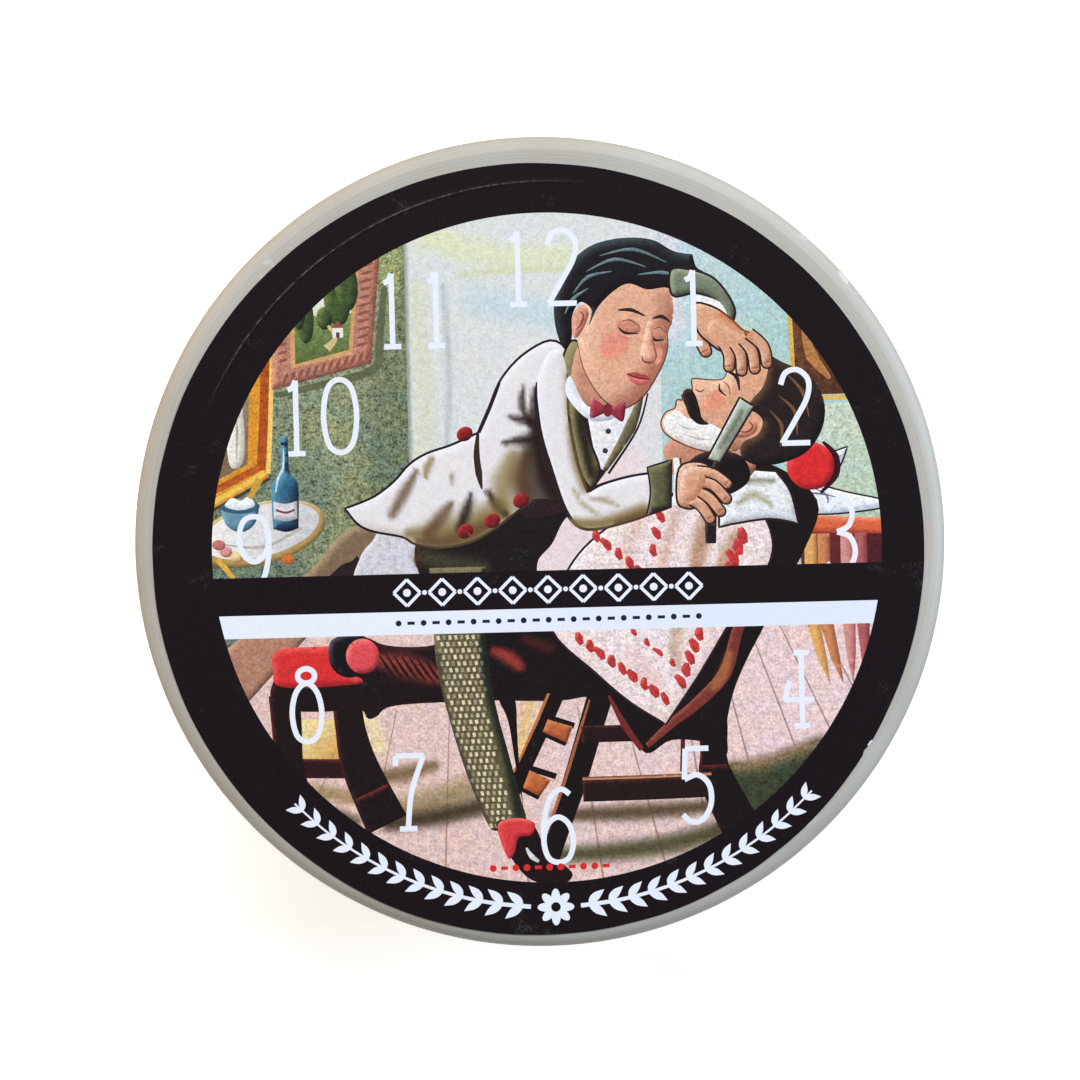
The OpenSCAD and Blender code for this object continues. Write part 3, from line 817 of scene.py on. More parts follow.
def draw_trousers():
    """The barber's checked trousers and red shoe, with the other leg drawn back."""
    back_leg = [(-13, 4), (-14.6, 0.6), (-18, 0), (-20.4, 3), (-23.4, 2), (-27, -2), (-29.4, -4),
        (-16, -5), (-12.6, -4)]
    paint(curve(back_leg), (120, 100, 78), light=(168, 146, 118), dark=(60, 48, 40), soft=1.2)
    paint(curve([(-25.6, -4), (-23.6, -1.6), (-22.2, -1), (-21.4, -0.6), (-21.2, -4)]), INK)
    paint(curve([(-21.6, -4), (-21.2, -0.6), (-19.8, 1.2), (-18.4, 2.6), (-14.6, 1.4), (-15.2, -1.2),
        (-14, -4)]), (200, 200, 210), light=(222, 222, 228), dark=(166, 166, 178), soft=0.7)
    seat = [(-14.6, 1.2), (-15, -1), (-14.2, -3.6, 0), (-1.2, -3.6, 0), (-1, -1.4), (0.6, 0.4), (2, 3),
        (4.4, 5.4), (3, 7), (-4, 6), (-12, 3)]
    cloth = paint(curve(seat), (24, 18, 20), light=(84, 26, 34), soft=0.6, mottle=1.6)
    spray(cloth, ([(-14.2, -0.6), (-11, -1.6), (-7.6, -2.2)], [1.6, 2, 1.8], (72, 70, 52), 0.7))
    leg = [(-13.4, -2, 0), (-13.1, -9.5), (-12.7, -14), (-11.6, -19), (-9.9, -25), (-7.6, -31),
        (-6.4, -32), (-3.2, -31.4), (-3.8, -28), (-5, -23), (-6.4, -17), (-7.2, -9.5), (-7, -2, 0)]
    cloth = paint(curve(leg), (92, 86, 64), light=(126, 120, 92), dark=(20, 22, 18), soft=1.2,
        mottle=1.6)
    for i in range(31):
        y = -9.2 - 0.74 * i
        mid = np.interp(y, [-32, -26, -18, -9.5], [-5.6, -7.6, -9.5, -10.3])
        half = np.interp(y, [-32, -26, -18, -9.5], [1.6, 2.1, 2.4, 2.9])
        for k in range(-4, 5):
            x = mid + 0.66 * k + 0.33 * (i % 2)
            if abs(x - mid) < half - 0.2:
                tone = (206, 198, 168) if (i // 2 + k) % 3 else (150, 142, 112)
                mark = quad(-0.17, -0.24, 0.17, 0.24)
                paint(moved(mark, x, y, 1, 12), tone, mottle=1.4)
    spray(cloth,
        ([(-7.4, -10), (-6.8, -16), (-4.9, -24), (-3.8, -31)], [1, 1.2, 1.1, 0.9], (22, 28, 24), 0.85),
        ([(-12.6, -12), (-11.9, -18), (-9.4, -26), (-7.6, -31)], [0.6, 0.6, 0.6, 0.5], (52, 44, 34),
            0.7))
    mass = [(-7.2, -9, 0), (-6.9, -12), (-6, -16.8), (-4.9, -19.6), (-4.2, -24.4), (-3.4, -29.6, 0),
        (-3.8, -23.6), (-3.9, -18.4), (-3.6, -16.7), (1, -16.6), (6, -17), (7, -14), (3.2, -9, 0)]
    dark = paint(curve(mass), (20, 12, 16), mottle=1)
    spray(dark,
        ([(-6.2, -11.6), (-4.6, -12.4), (-3.4, -13.4)], [0.8, 1.3, 0.9], (168, 60, 52), 0.9),
        ([(-2.6, -10.4), (0, -11.4)], [0.9, 1], (84, 34, 36), 0.7))
    shoe = [(-6.6, -31.2), (-4.8, -30.8), (-2.4, -31.4), (-1.2, -33.6), (0.6, -35.6), (2, -37.2),
        (0.4, -38.4), (-2.8, -37.6), (-5, -35)]
    paint(curve(shoe), (24, 12, 16), light=(90, 56, 60), soft=0.6)
    paint(curve([(-6.3, -31.2), (-4.2, -30.6), (-2.2, -31.2), (-2.6, -32.6), (-4, -32.8),
        (-4.5, -34.4), (-5.2, -35.2), (-6, -33.4)]), (206, 58, 64), light=(236, 104, 100),
        dark=(140, 26, 38), soft=0.5)
    stroke([(-3.2, -34), (-2.6, -35), (-1.8, -35.6)], [0.2, 0.6, 0.3], (204, 208, 212))


def draw_coat():
    """The barber's cream coat, seen from the side, with dark facings and airbrushed folds."""
    cream, bright, olive = (222, 218, 222), (236, 236, 244), (124, 106, 60)
    umber, dusk = (84, 60, 36), (32, 20, 18)
    paint(curve([(2, 22), (10.6, 18.4), (9.6, 13), (6.6, 8), (3, 4.6), (-3, 4), (-4, 14)]), INK,
        light=(64, 50, 46), soft=1)
    paint(curve([(4.4, 22.2), (8.2, 20.6), (11.2, 16.8), (9.8, 13), (6.6, 8.6), (5.2, 13.5)]),
        (222, 222, 230), light=(240, 240, 248), dark=(168, 160, 172), soft=0.8)
    tails = [(1.6, 23.4), (-1.8, 22.2), (-4.6, 19.4), (-6.2, 16), (-7.5, 13.2, 0), (-10.6, 11.9),
        (-13.4, 11), (-15.4, 9.8), (-17.2, 7.9), (-19.6, 6.2), (-22.8, 5, 0), (-21.4, 3.2),
        (-19.6, 2.3), (-16.4, 1.6), (-14.8, 0.7), (-12, 0.3), (-8.8, 0.8), (-6, 2.2), (-3.6, 3.9),
        (-1.2, 5.4), (2.2, 5.4), (3.6, 9), (4.6, 14), (4.2, 20)]
    coat = outlined(curve(tails), cream, ink=0.28, light=bright, dark=(190, 182, 178), soft=1.2,
        mottle=0.35)
    spray(coat,
        ([(-15.6, 2), (-12.4, 1.6), (-8.6, 2.6), (-5, 4.4)], [1, 2.6, 3.2, 2.2], olive, 0.9),
        ([(-14.6, 1), (-11.6, 0.9), (-8.4, 1.8), (-6.2, 3)], [0.6, 1.4, 1.6, 1], umber, 0.75),
        ([(-14.6, 9), (-16, 6.6), (-17.4, 4.2)], [0.5, 1.1, 0.9], umber, 0.75),
        ([(-12.8, 10.4), (-13.4, 9.2), (-13.6, 8.2)], [0.6, 0.7, 0.3], olive, 0.8),
        ([(-10.4, 8.8), (-10.6, 7.6)], [0.3, 0.4], umber, 0.6),
        ([(-10.6, 5.4), (-12, 3.6), (-13.4, 2)], [0.5, 1.4, 1.2], umber, 0.8),
        ([(-8.4, 6.4), (-9, 4.4), (-9.8, 2.4)], [0.4, 1, 0.8], dusk, 0.9),
        ([(-6.6, 6.6), (-5.6, 5), (-4.6, 3.9)], [0.5, 0.9, 0.7], dusk, 0.95),
        ([(-3.6, 10.6), (-4.6, 7.6), (-5.2, 4.8)], [1.2, 2.4, 1.6], olive, 0.75),
        ([(-2, 10.8), (-2.6, 8), (-2.2, 5.6)], [1.4, 2.2, 2.2], umber, 0.95),
        ([(-2, 18.6), (-2.4, 16.4), (-1.6, 14.2)], [0.3, 0.7, 0.8], dusk, 0.9),
        ([(-1, 18.2), (-1.2, 16), (-1, 14)], [0.3, 0.6, 0.8], dusk, 0.9),
        ([(-4, 14.9), (-2.8, 14.6), (-1.2, 14.2)], [0.3, 0.7, 0.9], dusk, 0.9),
        ([(-4.8, 11.9), (-3, 12.2), (-1.2, 12.2)], [0.3, 0.9, 1.2], dusk, 0.95),
        ([(-1, 13.8), (-0.5, 10), (0.4, 7.4), (1.6, 5.6)], [1.1, 2.3, 3.8, 3.6], dusk, 1))
    stroke([(-7.5, 13.2), (-7.7, 10.8), (-7.5, 8.6), (-7.2, 6.8)], [0.3, 0.7, 0.8, 0.15], (52, 36, 32))
    stroke([(-4.9, 18.8), (-6.1, 16), (-7.4, 13.2)], [0.3, 0.45, 0.4])
    for x, y in ((-9, 13.1), (-9.2, 2.1), (-6.1, 3.2), (-2.8, 5.4)):
        paint(oval(x, y, 0.95, 0.8, 30), (124, 26, 32), light=(176, 56, 54), dark=(58, 12, 20),
            soft=0.5)
    facing = [(3.4, 23.4), (5.4, 21.8), (5.6, 18.6), (4.6, 15.8), (5.2, 12), (6.2, 8.8), (5.2, 6.6),
        (3.6, 9.6), (2.2, 15.4), (2, 20)]
    lapel = outlined(curve(facing), (128, 120, 84), ink=0.26, light=(160, 152, 112), dark=(44, 38, 28),
        soft=1.2)
    spray(lapel,
        ([(4.9, 21.4), (4.6, 18), (4.2, 14.4), (4.8, 10.6), (5.2, 8.2)], [0.7, 1, 1.1, 1, 0.8],
            (28, 22, 20), 0.95))
    stroke([(11.2, 17.2), (9.8, 13.4), (6.8, 8.6)], [0.5, 1.3, 0.5], (96, 88, 64),
        light=(150, 142, 112), dark=(40, 34, 30), soft=0.4)
    stroke([(11.9, 17.2), (10.6, 13.2), (7.2, 8.2)], [0.2, 0.25, 0.3])
    sleeve = [(0.4, 21.6), (-0.8, 17.6), (-0.4, 12.6), (0.8, 8.2), (2.2, 4.2), (3.8, 2.2), (6.2, 2),
        (10.4, 3), (12.6, 3.9, 0), (12.3, 8.2, 0), (9.4, 7.8), (6.4, 7), (4.8, 6.2), (3.7, 9.6),
        (2.9, 14.6), (2.8, 19.6), (2, 22.4)]
    arm = paint(curve(sleeve), cream, light=bright, dark=(196, 188, 182), soft=1.2, mottle=0.35)
    stroke([(-0.7, 18.8), (-0.8, 16.6), (-0.4, 12.6), (0.8, 8.2), (2.2, 4.2), (3.8, 2.2), (6.2, 2),
        (10.4, 3), (12.6, 3.9)], [0.15, 0.5, 0.7, 0.5, 0.35, 0.3, 0.3])
    stroke([(12.3, 8.2), (9.4, 7.8), (6.4, 7), (4.8, 6.2, 0), (3.7, 9.6), (2.9, 14.6), (2.8, 19.6)],
        [0.28, 0.3, 0.4, 0.4, 0.15])
    spray(arm,
        ([(2.6, 2.8), (6.4, 2.6), (11, 4)], [0.8, 1.2, 1.3], olive, 0.9),
        ([(8, 2.6), (11.6, 3.6)], [0.5, 0.9], umber, 0.8),
        ([(2.9, 14), (3.4, 10), (4.4, 6.4)], [0.5, 0.9, 0.6], olive, 0.7),
        ([(2.8, 19.6), (2.9, 15)], [0.5, 0.6], olive, 0.6),
        ([(4.8, 5.6), (6.8, 5.2), (8.4, 4.4)], [0.2, 0.6, 0.3], olive, 0.6),
        ([(3.2, 6.6), (4.2, 4.8), (6, 3.6)], [0.2, 0.5, 0.3], olive, 0.5))
    cuff = [(11.4, 3.3, 0), (14.2, 4.2, 0), (14.4, 9.6, 0), (11.6, 8.8, 0), (11.9, 6)]
    outlined(curve(cuff), (88, 86, 62), light=(132, 130, 100), dark=(24, 24, 20), soft=1)
    stroke([(14.6, 4.4), (15, 7), (14.9, 9.8)], [0.5, 0.8, 0.6], (228, 228, 238))
    stroke([(15.2, 4.4), (15.6, 7), (15.4, 9.8)], 0.16)
    for x, y in ((7.3, 13), (6.9, 10.8)):
        paint(oval(x, y, 0.32, 0.32, steps=10), (50, 44, 60), mottle=0.3)


def feature(cx, cy, size, tilt, flip=False):
    """Painting tools for a head drawn round the origin, one unit from its middle to its crown."""
    def shape(points, colour, **more):
        more["soft"] = more.get("soft", 0.15) * size
        paint(moved(curve(points), cx, cy, size, tilt, flip), colour, **more)

    def line(points, widths, colour=INK, **more):
        widths = np.atleast_1d(widths) * size
        if "soft" in more:
            more["soft"] *= size
        stroke(moved(points, cx, cy, size, tilt, flip), widths, colour, **more)

    return shape, line


def draw_barber_head():
    """A plain young face in three-quarter view, eyes lowered, with a dark swept-up cut."""
    shape, line = feature(9.1, 24.5, 8.8, -15)
    skin, glow, dusk = (214, 164, 138), (236, 196, 172), (158, 100, 82)
    shape([(-0.46, -0.3), (-0.5, -0.7), (-0.42, -1.02), (0.1, -1.1), (0.22, -0.8), (0, -0.4)],
        (186, 134, 112), dark=(120, 74, 64), light=(210, 160, 136))
    shape([(-0.5, -0.74), (-0.5, -0.98), (-0.16, -1.22), (0.14, -1.16), (0.2, -1), (-0.2, -1.06)],
        (232, 232, 238), dark=(160, 160, 176), soft=0.1, mottle=0.4)
    face = [(-0.3, 0.78), (0.1, 0.84), (0.44, 0.7), (0.58, 0.44), (0.61, 0.24), (0.585, 0.1),
        (0.63, -0.06), (0.63, -0.26), (0.575, -0.5), (0.48, -0.76), (0.3, -0.965), (0.1, -0.985),
        (-0.12, -0.86), (-0.36, -0.6), (-0.52, -0.28), (-0.56, 0.1), (-0.5, 0.5)]
    shape(face, skin, light=glow, dark=dusk, soft=0.34)
    line(face[4:15], [0.008, 0.016, 0.02, 0.016, 0.008], (96, 50, 46), mottle=0.3)
    shape([(-0.2, -0.1), (0, -0.02), (0.14, -0.14), (0.12, -0.32), (-0.04, -0.42), (-0.2, -0.32)],
        (218, 138, 120), light=(220, 150, 132), dark=(214, 150, 128), soft=0.12)
    shape([(0.5, -0.14), (0.57, -0.12), (0.59, -0.26), (0.53, -0.34)], (214, 140, 122))
    shape([(-0.62, 0.14), (-0.55, 0.19), (-0.46, 0.1), (-0.48, -0.1), (-0.54, -0.24), (-0.61, -0.2),
        (-0.66, 0)], (206, 144, 122), light=(228, 170, 148), dark=(142, 78, 68), soft=0.08)
    line([(-0.585, 0.1), (-0.52, 0.06), (-0.53, -0.06), (-0.57, -0.14)], [0.01, 0.03, 0.01],
        (132, 66, 60))
    for cx, half, tip in ((0.08, 0.135, 0.03), (0.475, 0.088, 0.02)):
        shape([(cx - half * 1.15, 0.06), (cx - half * 0.3, 0.155), (cx + half * 0.8, 0.13),
            (cx + half * 1.15, 0.03), (cx, -0.035)], (190, 128, 108), light=(216, 160, 138),
            dark=(150, 92, 80), soft=0.06)
        line([(cx - half, 0.02), (cx - half * 0.2, -0.03), (cx + half, 0)], [0.012, 0.038, 0.014],
            (52, 28, 30), mottle=0.2)
        line([(cx - half * 1.05, 0.085), (cx, 0.145), (cx + half * 1.1, 0.085)], [0.006, 0.018, 0.006],
            (120, 66, 58), mottle=0.2)
        line([(cx - half * 0.7, -0.075), (cx, -0.095), (cx + half * 0.7, -0.065)],
            [0.004, 0.014, 0.004], (168, 108, 92), mottle=0.2)
        line([(cx - half * 1.35, 0.235), (cx - half * 0.1, 0.305 - tip), (cx + half * 1.3, 0.24)],
            [0.02, 0.052, 0.014], (46, 30, 34), mottle=0.3)
    shape([(0.3, 0.17), (0.37, 0.16), (0.43, -0.06), (0.515, -0.235), (0.49, -0.315), (0.38, -0.325),
        (0.31, -0.27), (0.3, -0.06)], (222, 172, 146), light=(240, 204, 182), dark=(176, 116, 96),
        soft=0.09)
    line([(0.395, 0.06), (0.44, -0.08), (0.515, -0.225), (0.5, -0.3)], [0.006, 0.016, 0.02, 0.008],
        (132, 74, 64), mottle=0.3)
    line([(0.335, -0.27), (0.365, -0.325), (0.43, -0.335), (0.49, -0.315)], [0.008, 0.026, 0.022],
        (122, 60, 56), mottle=0.3)
    shape([(0.2, -0.545), (0.31, -0.49), (0.385, -0.505), (0.43, -0.49), (0.51, -0.54), (0.4, -0.552)],
        (164, 66, 66), soft=0.03)
    shape([(0.22, -0.552), (0.37, -0.556), (0.5, -0.547), (0.45, -0.625), (0.36, -0.645),
        (0.27, -0.615)], (204, 98, 94), light=(224, 134, 124), dark=(160, 66, 66), soft=0.05)
    line([(0.19, -0.545), (0.36, -0.556), (0.515, -0.54)], [0.01, 0.02, 0.01], (84, 30, 36), mottle=0.2)
    line([(0.29, -0.7), (0.37, -0.715), (0.44, -0.69)], [0.008, 0.03, 0.008], (176, 118, 100))
    hair = [(0.66, 0.8, 0), (0.84, 0.98, 0), (0.74, 1.02), (0.66, 1.16, 0), (0.42, 1.14), (0.1, 1.22),
        (-0.3, 1.14), (-0.66, 0.94), (-0.88, 0.6), (-0.94, 0.22), (-0.84, -0.16), (-0.66, -0.42),
        (-0.6, -0.26), (-0.66, 0.02), (-0.6, 0.22), (-0.44, 0.16), (-0.42, -0.04), (-0.36, 0.22),
        (-0.2, 0.48), (-0.04, 0.6), (0.2, 0.58), (0.42, 0.66), (0.56, 0.62, 0)]
    shape(hair, (24, 20, 27), light=(58, 72, 78), dark=(12, 9, 14), soft=0.14, mottle=1.4)
    for lock in ([(-0.5, 0.86), (-0.1, 1.04), (0.36, 0.98)], [(-0.62, 0.62), (-0.3, 0.86),
            (0.12, 0.86)], [(-0.72, 0.3), (-0.58, 0.56), (-0.3, 0.7)],
            [(0.04, 0.74), (0.34, 0.84), (0.62, 0.84)], [(-0.76, 0.02), (-0.7, 0.24), (-0.54, 0.42)]):
        line(lock, [0.006, 0.045, 0.01], (74, 98, 104), light=(120, 146, 150), soft=0.02)
    for flip in (False, True):
        paint(moved(curve([(0, 0), (0.7, 0.6), (1.8, 1.1), (2, 0), (1.8, -1.1), (0.7, -0.6)]), 7.3,
            15.4, 1, -8, flip), (146, 44, 66), light=(190, 92, 112), dark=(78, 16, 36), soft=0.5)
    paint(oval(7.3, 15.4, 0.55, 0.75), (120, 30, 46), mottle=0.6)


def draw_sitter_head():
    """A plain face in profile, tipped back on the rest, eyes closed, with a dark moustache."""
    shape, line = feature(22.6, 13.9, 8.2, -57)
    shape([(0.00, -0.5), (-0.3, -0.86), (-0.26, -1.16), (0.3, -1.2), (0.7, -0.84), (0.62, -0.2)],
        (186, 130, 106), light=(210, 156, 132), dark=(120, 72, 60), soft=0.2)
    face = [(0.2, 0.96), (-0.26, 0.94), (-0.56, 0.74), (-0.67, 0.46), (-0.69, 0.24), (-0.625, 0.1),
        (-0.7, -0.04), (-0.83, -0.2), (-0.86, -0.27), (-0.735, -0.345), (-0.72, -0.42),
        (-0.765, -0.49), (-0.705, -0.535), (-0.745, -0.6), (-0.67, -0.685), (-0.69, -0.82),
        (-0.6, -0.965), (-0.42, -0.985), (-0.14, -0.84), (0.14, -0.6), (0.3, -0.3), (0.56, 0),
        (0.72, 0.4), (0.56, 0.8)]
    shape(face, (210, 158, 130), light=(236, 194, 168), dark=(156, 100, 78), soft=0.26)
    line(face[1:21], [0.008, 0.016, 0.022, 0.02, 0.014], (92, 48, 44), mottle=0.3)
    shape([(-0.56, -0.08), (-0.4, -0.04), (-0.28, -0.18), (-0.34, -0.34), (-0.5, -0.32)],
        (216, 144, 120), light=(216, 148, 124), dark=(206, 146, 122), soft=0.1)
    line([(-0.6, 0.015), (-0.52, -0.03), (-0.4, 0)], [0.012, 0.036, 0.012], (56, 32, 30))
    line([(-0.6, 0.075), (-0.5, 0.1), (-0.38, 0.045)], [0.006, 0.018, 0.006], (130, 78, 64))
    line([(-0.68, 0.2), (-0.54, 0.265), (-0.36, 0.19)], [0.02, 0.06, 0.015], (42, 26, 28))
    line([(-0.73, -0.3), (-0.66, -0.27), (-0.65, -0.2)], [0.008, 0.024, 0.01], (126, 66, 56))
    line([(-0.735, -0.52), (-0.62, -0.535), (-0.54, -0.55)], [0.008, 0.022, 0.008], (110, 40, 44))
    foam = [(-0.6, -0.66), (-0.46, -0.62), (-0.3, -0.46), (-0.1, -0.34), (0.1, -0.3), (0.2, -0.44),
        (0.06, -0.66), (-0.16, -0.84), (-0.42, -0.96), (-0.6, -0.92), (-0.65, -0.78)]
    shape(foam, (228, 226, 226), light=(244, 244, 246), dark=(176, 168, 166), soft=0.12)
    for bit in ([(-0.5, -0.78), (-0.36, -0.72), (-0.26, -0.6)],
            [(-0.3, -0.78), (-0.14, -0.66), (-0.02, -0.5)]):
        line(bit, [0.006, 0.03, 0.006], (190, 184, 184))
    shape([(-0.76, -0.35), (-0.64, -0.35), (-0.48, -0.4), (-0.34, -0.45), (-0.22, -0.42),
        (-0.3, -0.54), (-0.46, -0.58), (-0.62, -0.54), (-0.76, -0.49), (-0.8, -0.42)], (28, 18, 20),
        light=(84, 62, 54), soft=0.06)
    shape([(0.02, 0.1), (0.14, 0.14), (0.24, 0.04), (0.2, -0.14), (0.08, -0.26), (0, -0.2),
        (0, -0.04)], (208, 148, 122), light=(230, 176, 150), dark=(136, 78, 62), soft=0.08)
    line([(0.06, 0.06), (0.15, 0.06), (0.17, -0.04), (0.09, -0.15)], [0.01, 0.032, 0.01], (122, 62, 52))
    hair = [(-0.36, 0.9), (-0.52, 0.8), (-0.36, 0.66), (-0.22, 0.48), (-0.16, 0.26), (-0.06, 0.02),
        (-0.02, 0.18), (0.16, 0.22), (0.28, 0.06), (0.26, -0.18), (0.4, -0.3), (0.62, -0.2),
        (0.8, 0.12), (0.86, 0.5), (0.7, 0.86), (0.4, 1.08), (0, 1.1)]
    shape(hair, (34, 24, 26), light=(92, 66, 48), dark=(14, 10, 12), soft=0.14, mottle=1.4)
    for lock in ([(-0.2, 0.86), (0.14, 0.9), (0.48, 0.78)], [(0, 0.6), (0.3, 0.66), (0.6, 0.5)],
            [(0.1, 0.38), (0.36, 0.4), (0.6, 0.22)]):
        line(lock, [0.006, 0.05, 0.01], (112, 78, 52))
    shape([(0.4, -0.3), (0.1, -0.62), (0.06, -0.94), (0.34, -1.1), (0.7, -0.86), (0.74, -0.4)],
        (20, 14, 20), light=(56, 44, 50), soft=0.1)


def finger(points, width, skin=(206, 154, 126), glow=(234, 194, 168), dusk=(140, 84, 62)):
    """One finger: an inked sausage with a lit side."""
    tip = points[-1]
    stroke(points, [width * 1.1 + 0.4, width + 0.4], INK, mottle=0.5)
    paint(oval(*tip, width / 2 + 0.2, width / 2 + 0.2, steps=14), INK, mottle=0.5)
    left, right = ribbon(points, [width * 1.1, width])
    end = oval(*tip, width / 2, width / 2, steps=14)
    paint(end, skin, dark=dusk, soft=0.4)
    paint(np.vstack([left, right[::-1]]), skin, light=glow, dark=dusk, soft=width * 0.45)


def draw_hands():
    """One hand steadies the brow, the other holds the razor."""
    skin, glow, dusk = (206, 154, 126), (234, 194, 168), (140, 84, 62)
    sleeve = [(14.8, 31), (16.6, 31.2), (19.8, 30), (22, 26.6), (21.2, 24.6), (20, 27.4), (17.6, 28.4),
        (15, 28.2)]
    outlined(curve(sleeve), (112, 122, 104), ink=0.26, light=(160, 170, 150), dark=(44, 52, 44),
        soft=0.9)
    stroke([(21, 25), (19.9, 26.9), (17.2, 28)], [0.8, 1.2, 0.8], (228, 230, 238))
    finger([(18.2, 24.8), (18, 23.4), (18.6, 21.8)], 1.15)
    palm = [(17.4, 27.2), (19.6, 26.8), (21.3, 25.6), (22.9, 24.1), (24.5, 23.4), (23.5, 22.2),
        (20.9, 21.6), (18.9, 22.8), (17.6, 24.4)]
    hand = outlined(curve(palm), skin, ink=0.24, light=glow, dark=dusk, soft=0.9)
    for points in ([(20.5, 23), (21.2, 21.4), (21.2, 20)], [(21.5, 23.2), (22.5, 21.4), (22.6, 19.5)],
            [(22.5, 23.4), (23.8, 21.7), (24.1, 19.7)], [(23.5, 23.7), (25.1, 22.2), (25.5, 20.3)]):
        finger(points, 1.05)
    spray(hand, ([(20.4, 26), (21.7, 25), (23.7, 23.6)], [0.6, 0.8, 0.7], (196, 104, 56), 0.6))
    paint(curve([(19.3, 25.4), (21.5, 24.2), (22.9, 23.2), (21.9, 22.4), (20.3, 22.2), (18.9, 23.8)]),
        skin, light=glow, soft=0.7)
    blade = [(18.4, 9.6, 0), (19.8, 9, 0), (23.9, 15.4, 0), (22.3, 16.5, 0)]
    metal = outlined(curve(blade), (168, 178, 164), ink=0.24, light=(226, 232, 228),
        dark=(96, 104, 92), soft=0.5, mottle=0.6)
    spray(metal, ([(20, 10.8), (21.4, 13), (22.6, 15)], [0.5, 0.6, 0.4], (86, 92, 70), 0.8))
    stroke([(19.6, 9.4), (18.9, 7), (18.7, 4), (18.6, 0)], [0.6, 1, 1.4, 1.2], (30, 22, 28),
        light=(90, 76, 80), soft=0.3)
    fist = [(14.9, 4.9), (15.2, 8.6), (17.2, 9.3), (18.9, 8.6), (19.4, 7), (18.6, 5.2), (17.2, 4.2),
        (16, 4)]
    outlined(curve(fist), skin, ink=0.24, light=glow, dark=dusk, soft=0.9)
    for points in ([(17.2, 8.2), (19, 7.9), (20.6, 6.7)], [(17.2, 7), (19, 6.6), (20.5, 5)],
            [(17, 5.9), (18.5, 5.2), (19.8, 3.6)], [(16.6, 5), (17.7, 4.2), (18.6, 2.8)]):
        finger(points, 1)
    paint(curve([(15.3, 5.4), (15.6, 8.2), (17.2, 8.7), (18.2, 7.4), (17.4, 5.6), (16.4, 4.8)]), skin,
        light=(238, 206, 190), dark=(176, 116, 92), soft=0.9)


# ---- bands, numerals and ornaments


def draw_bands():
    """A black band with a row of lozenges, and a white one with small dots and dashes."""
    paint(quad(-39, -6.9, 39, -2.6), BLACK, mottle=0.35)
    paint(quad(-38.4, -9.5, 38.2, -6.9), WHITE, mottle=0.1, to=(218, 226, 244),
        along=((-20, 0), (20, 0)))
    for i in range(9):
        x = 4 * (i - 4)
        ring = [(x - 1.5, -4.75), (x, -3.25), (x + 1.5, -4.75), (x, -6.25)]
        for a, b in zip(ring, ring[1:] + ring[:1]):
            stroke([a, b], 0.36, WHITE, mottle=0.1)
        paint(oval(x, -4.75, 0.45, 0.45, steps=14), WHITE, mottle=0.1)
        if i < 8:
            paint(oval(x + 2, -4.75, 0.28, 0.28, steps=12), WHITE, mottle=0.1)
    for i in range(25):
        x = 1.42 * (i - 12)
        mark = quad(x - 0.42, -8.38, x + 0.42, -8.02) if i % 2 else oval(x, -8.2, 0.34, 0.34, steps=12)
        paint(mark, (30, 28, 58), mottle=0.1)


def digit_strokes():
    """Centre lines of slab-footed numerals, one unit tall and centred on x = 0: for each digit,
    its closed lines and then its open ones."""
    def over(line):
        return [(-x, 1 - y) for x, y in line]

    loop = [(0, 1), (-0.17, 0.88), (-0.235, 0.5), (-0.17, 0.12), (0, 0), (0.17, 0.12), (0.235, 0.5),
        (0.17, 0.88)]
    bowl = [(0, 0.62), (-0.15, 0.52), (-0.21, 0.3), (-0.15, 0.07), (0, 0), (0.15, 0.07), (0.21, 0.3),
        (0.15, 0.52)]
    top = [(0, 1), (-0.09, 0.965), (-0.12, 0.9), (-0.09, 0.835), (0, 0.8), (0.09, 0.835), (0.12, 0.9),
        (0.09, 0.965)]
    tall = [(x, y * 0.8 / 0.62) for x, y in bowl]
    six = [(0.17, 0.93), (0.04, 1), (-0.12, 0.86), (-0.2, 0.56), (-0.21, 0.3)]
    return {
        "0": ([loop], []),
        "1": ([], [[(-0.11, 0.87), (-0.04, 0.91), (0, 1)], [(0, 1), (0, 0)], [(-0.12, 0), (0.12, 0)]]),
        "2": ([], [[(-0.2, 0.8), (-0.13, 0.96), (0.04, 1), (0.19, 0.86), (0.17, 0.62), (0, 0.32),
                    (-0.2, 0)], [(-0.2, 0), (0.2, 0)]]),
        "3": ([], [[(-0.18, 0.84), (-0.06, 0.98), (0.1, 0.97), (0.18, 0.8), (0.12, 0.62), (-0.04, 0.54)],
                   [(-0.04, 0.54), (0.14, 0.47), (0.21, 0.26), (0.12, 0.05), (-0.06, 0), (-0.2, 0.12)]]),
        "4": ([], [[(-0.14, 0.62), (-0.22, 0.36)], [(-0.22, 0.36), (0.2, 0.36)], [(0.03, 1), (0.03, 0)],
                   [(-0.08, 0), (0.14, 0)], [(-0.08, 1), (0.14, 1)]]),
        "5": ([], [[(-0.15, 1), (0.18, 1)], [(-0.15, 1), (-0.17, 0.58)],
                   [(-0.17, 0.58), (0.02, 0.64), (0.18, 0.5), (0.2, 0.24), (0.08, 0.03), (-0.08, 0),
                    (-0.2, 0.1)]]),
        "6": ([bowl], [six]),
        "7": ([], [[(-0.2, 0.86), (-0.2, 1)], [(-0.2, 1), (0.2, 1)], [(0.2, 1), (0.02, 0.5), (-0.04, 0)],
                   [(-0.16, 0), (0.09, 0)]]),
        "8": ([top, tall], []),
        "9": ([over(bowl)], [over(six)]),
    }


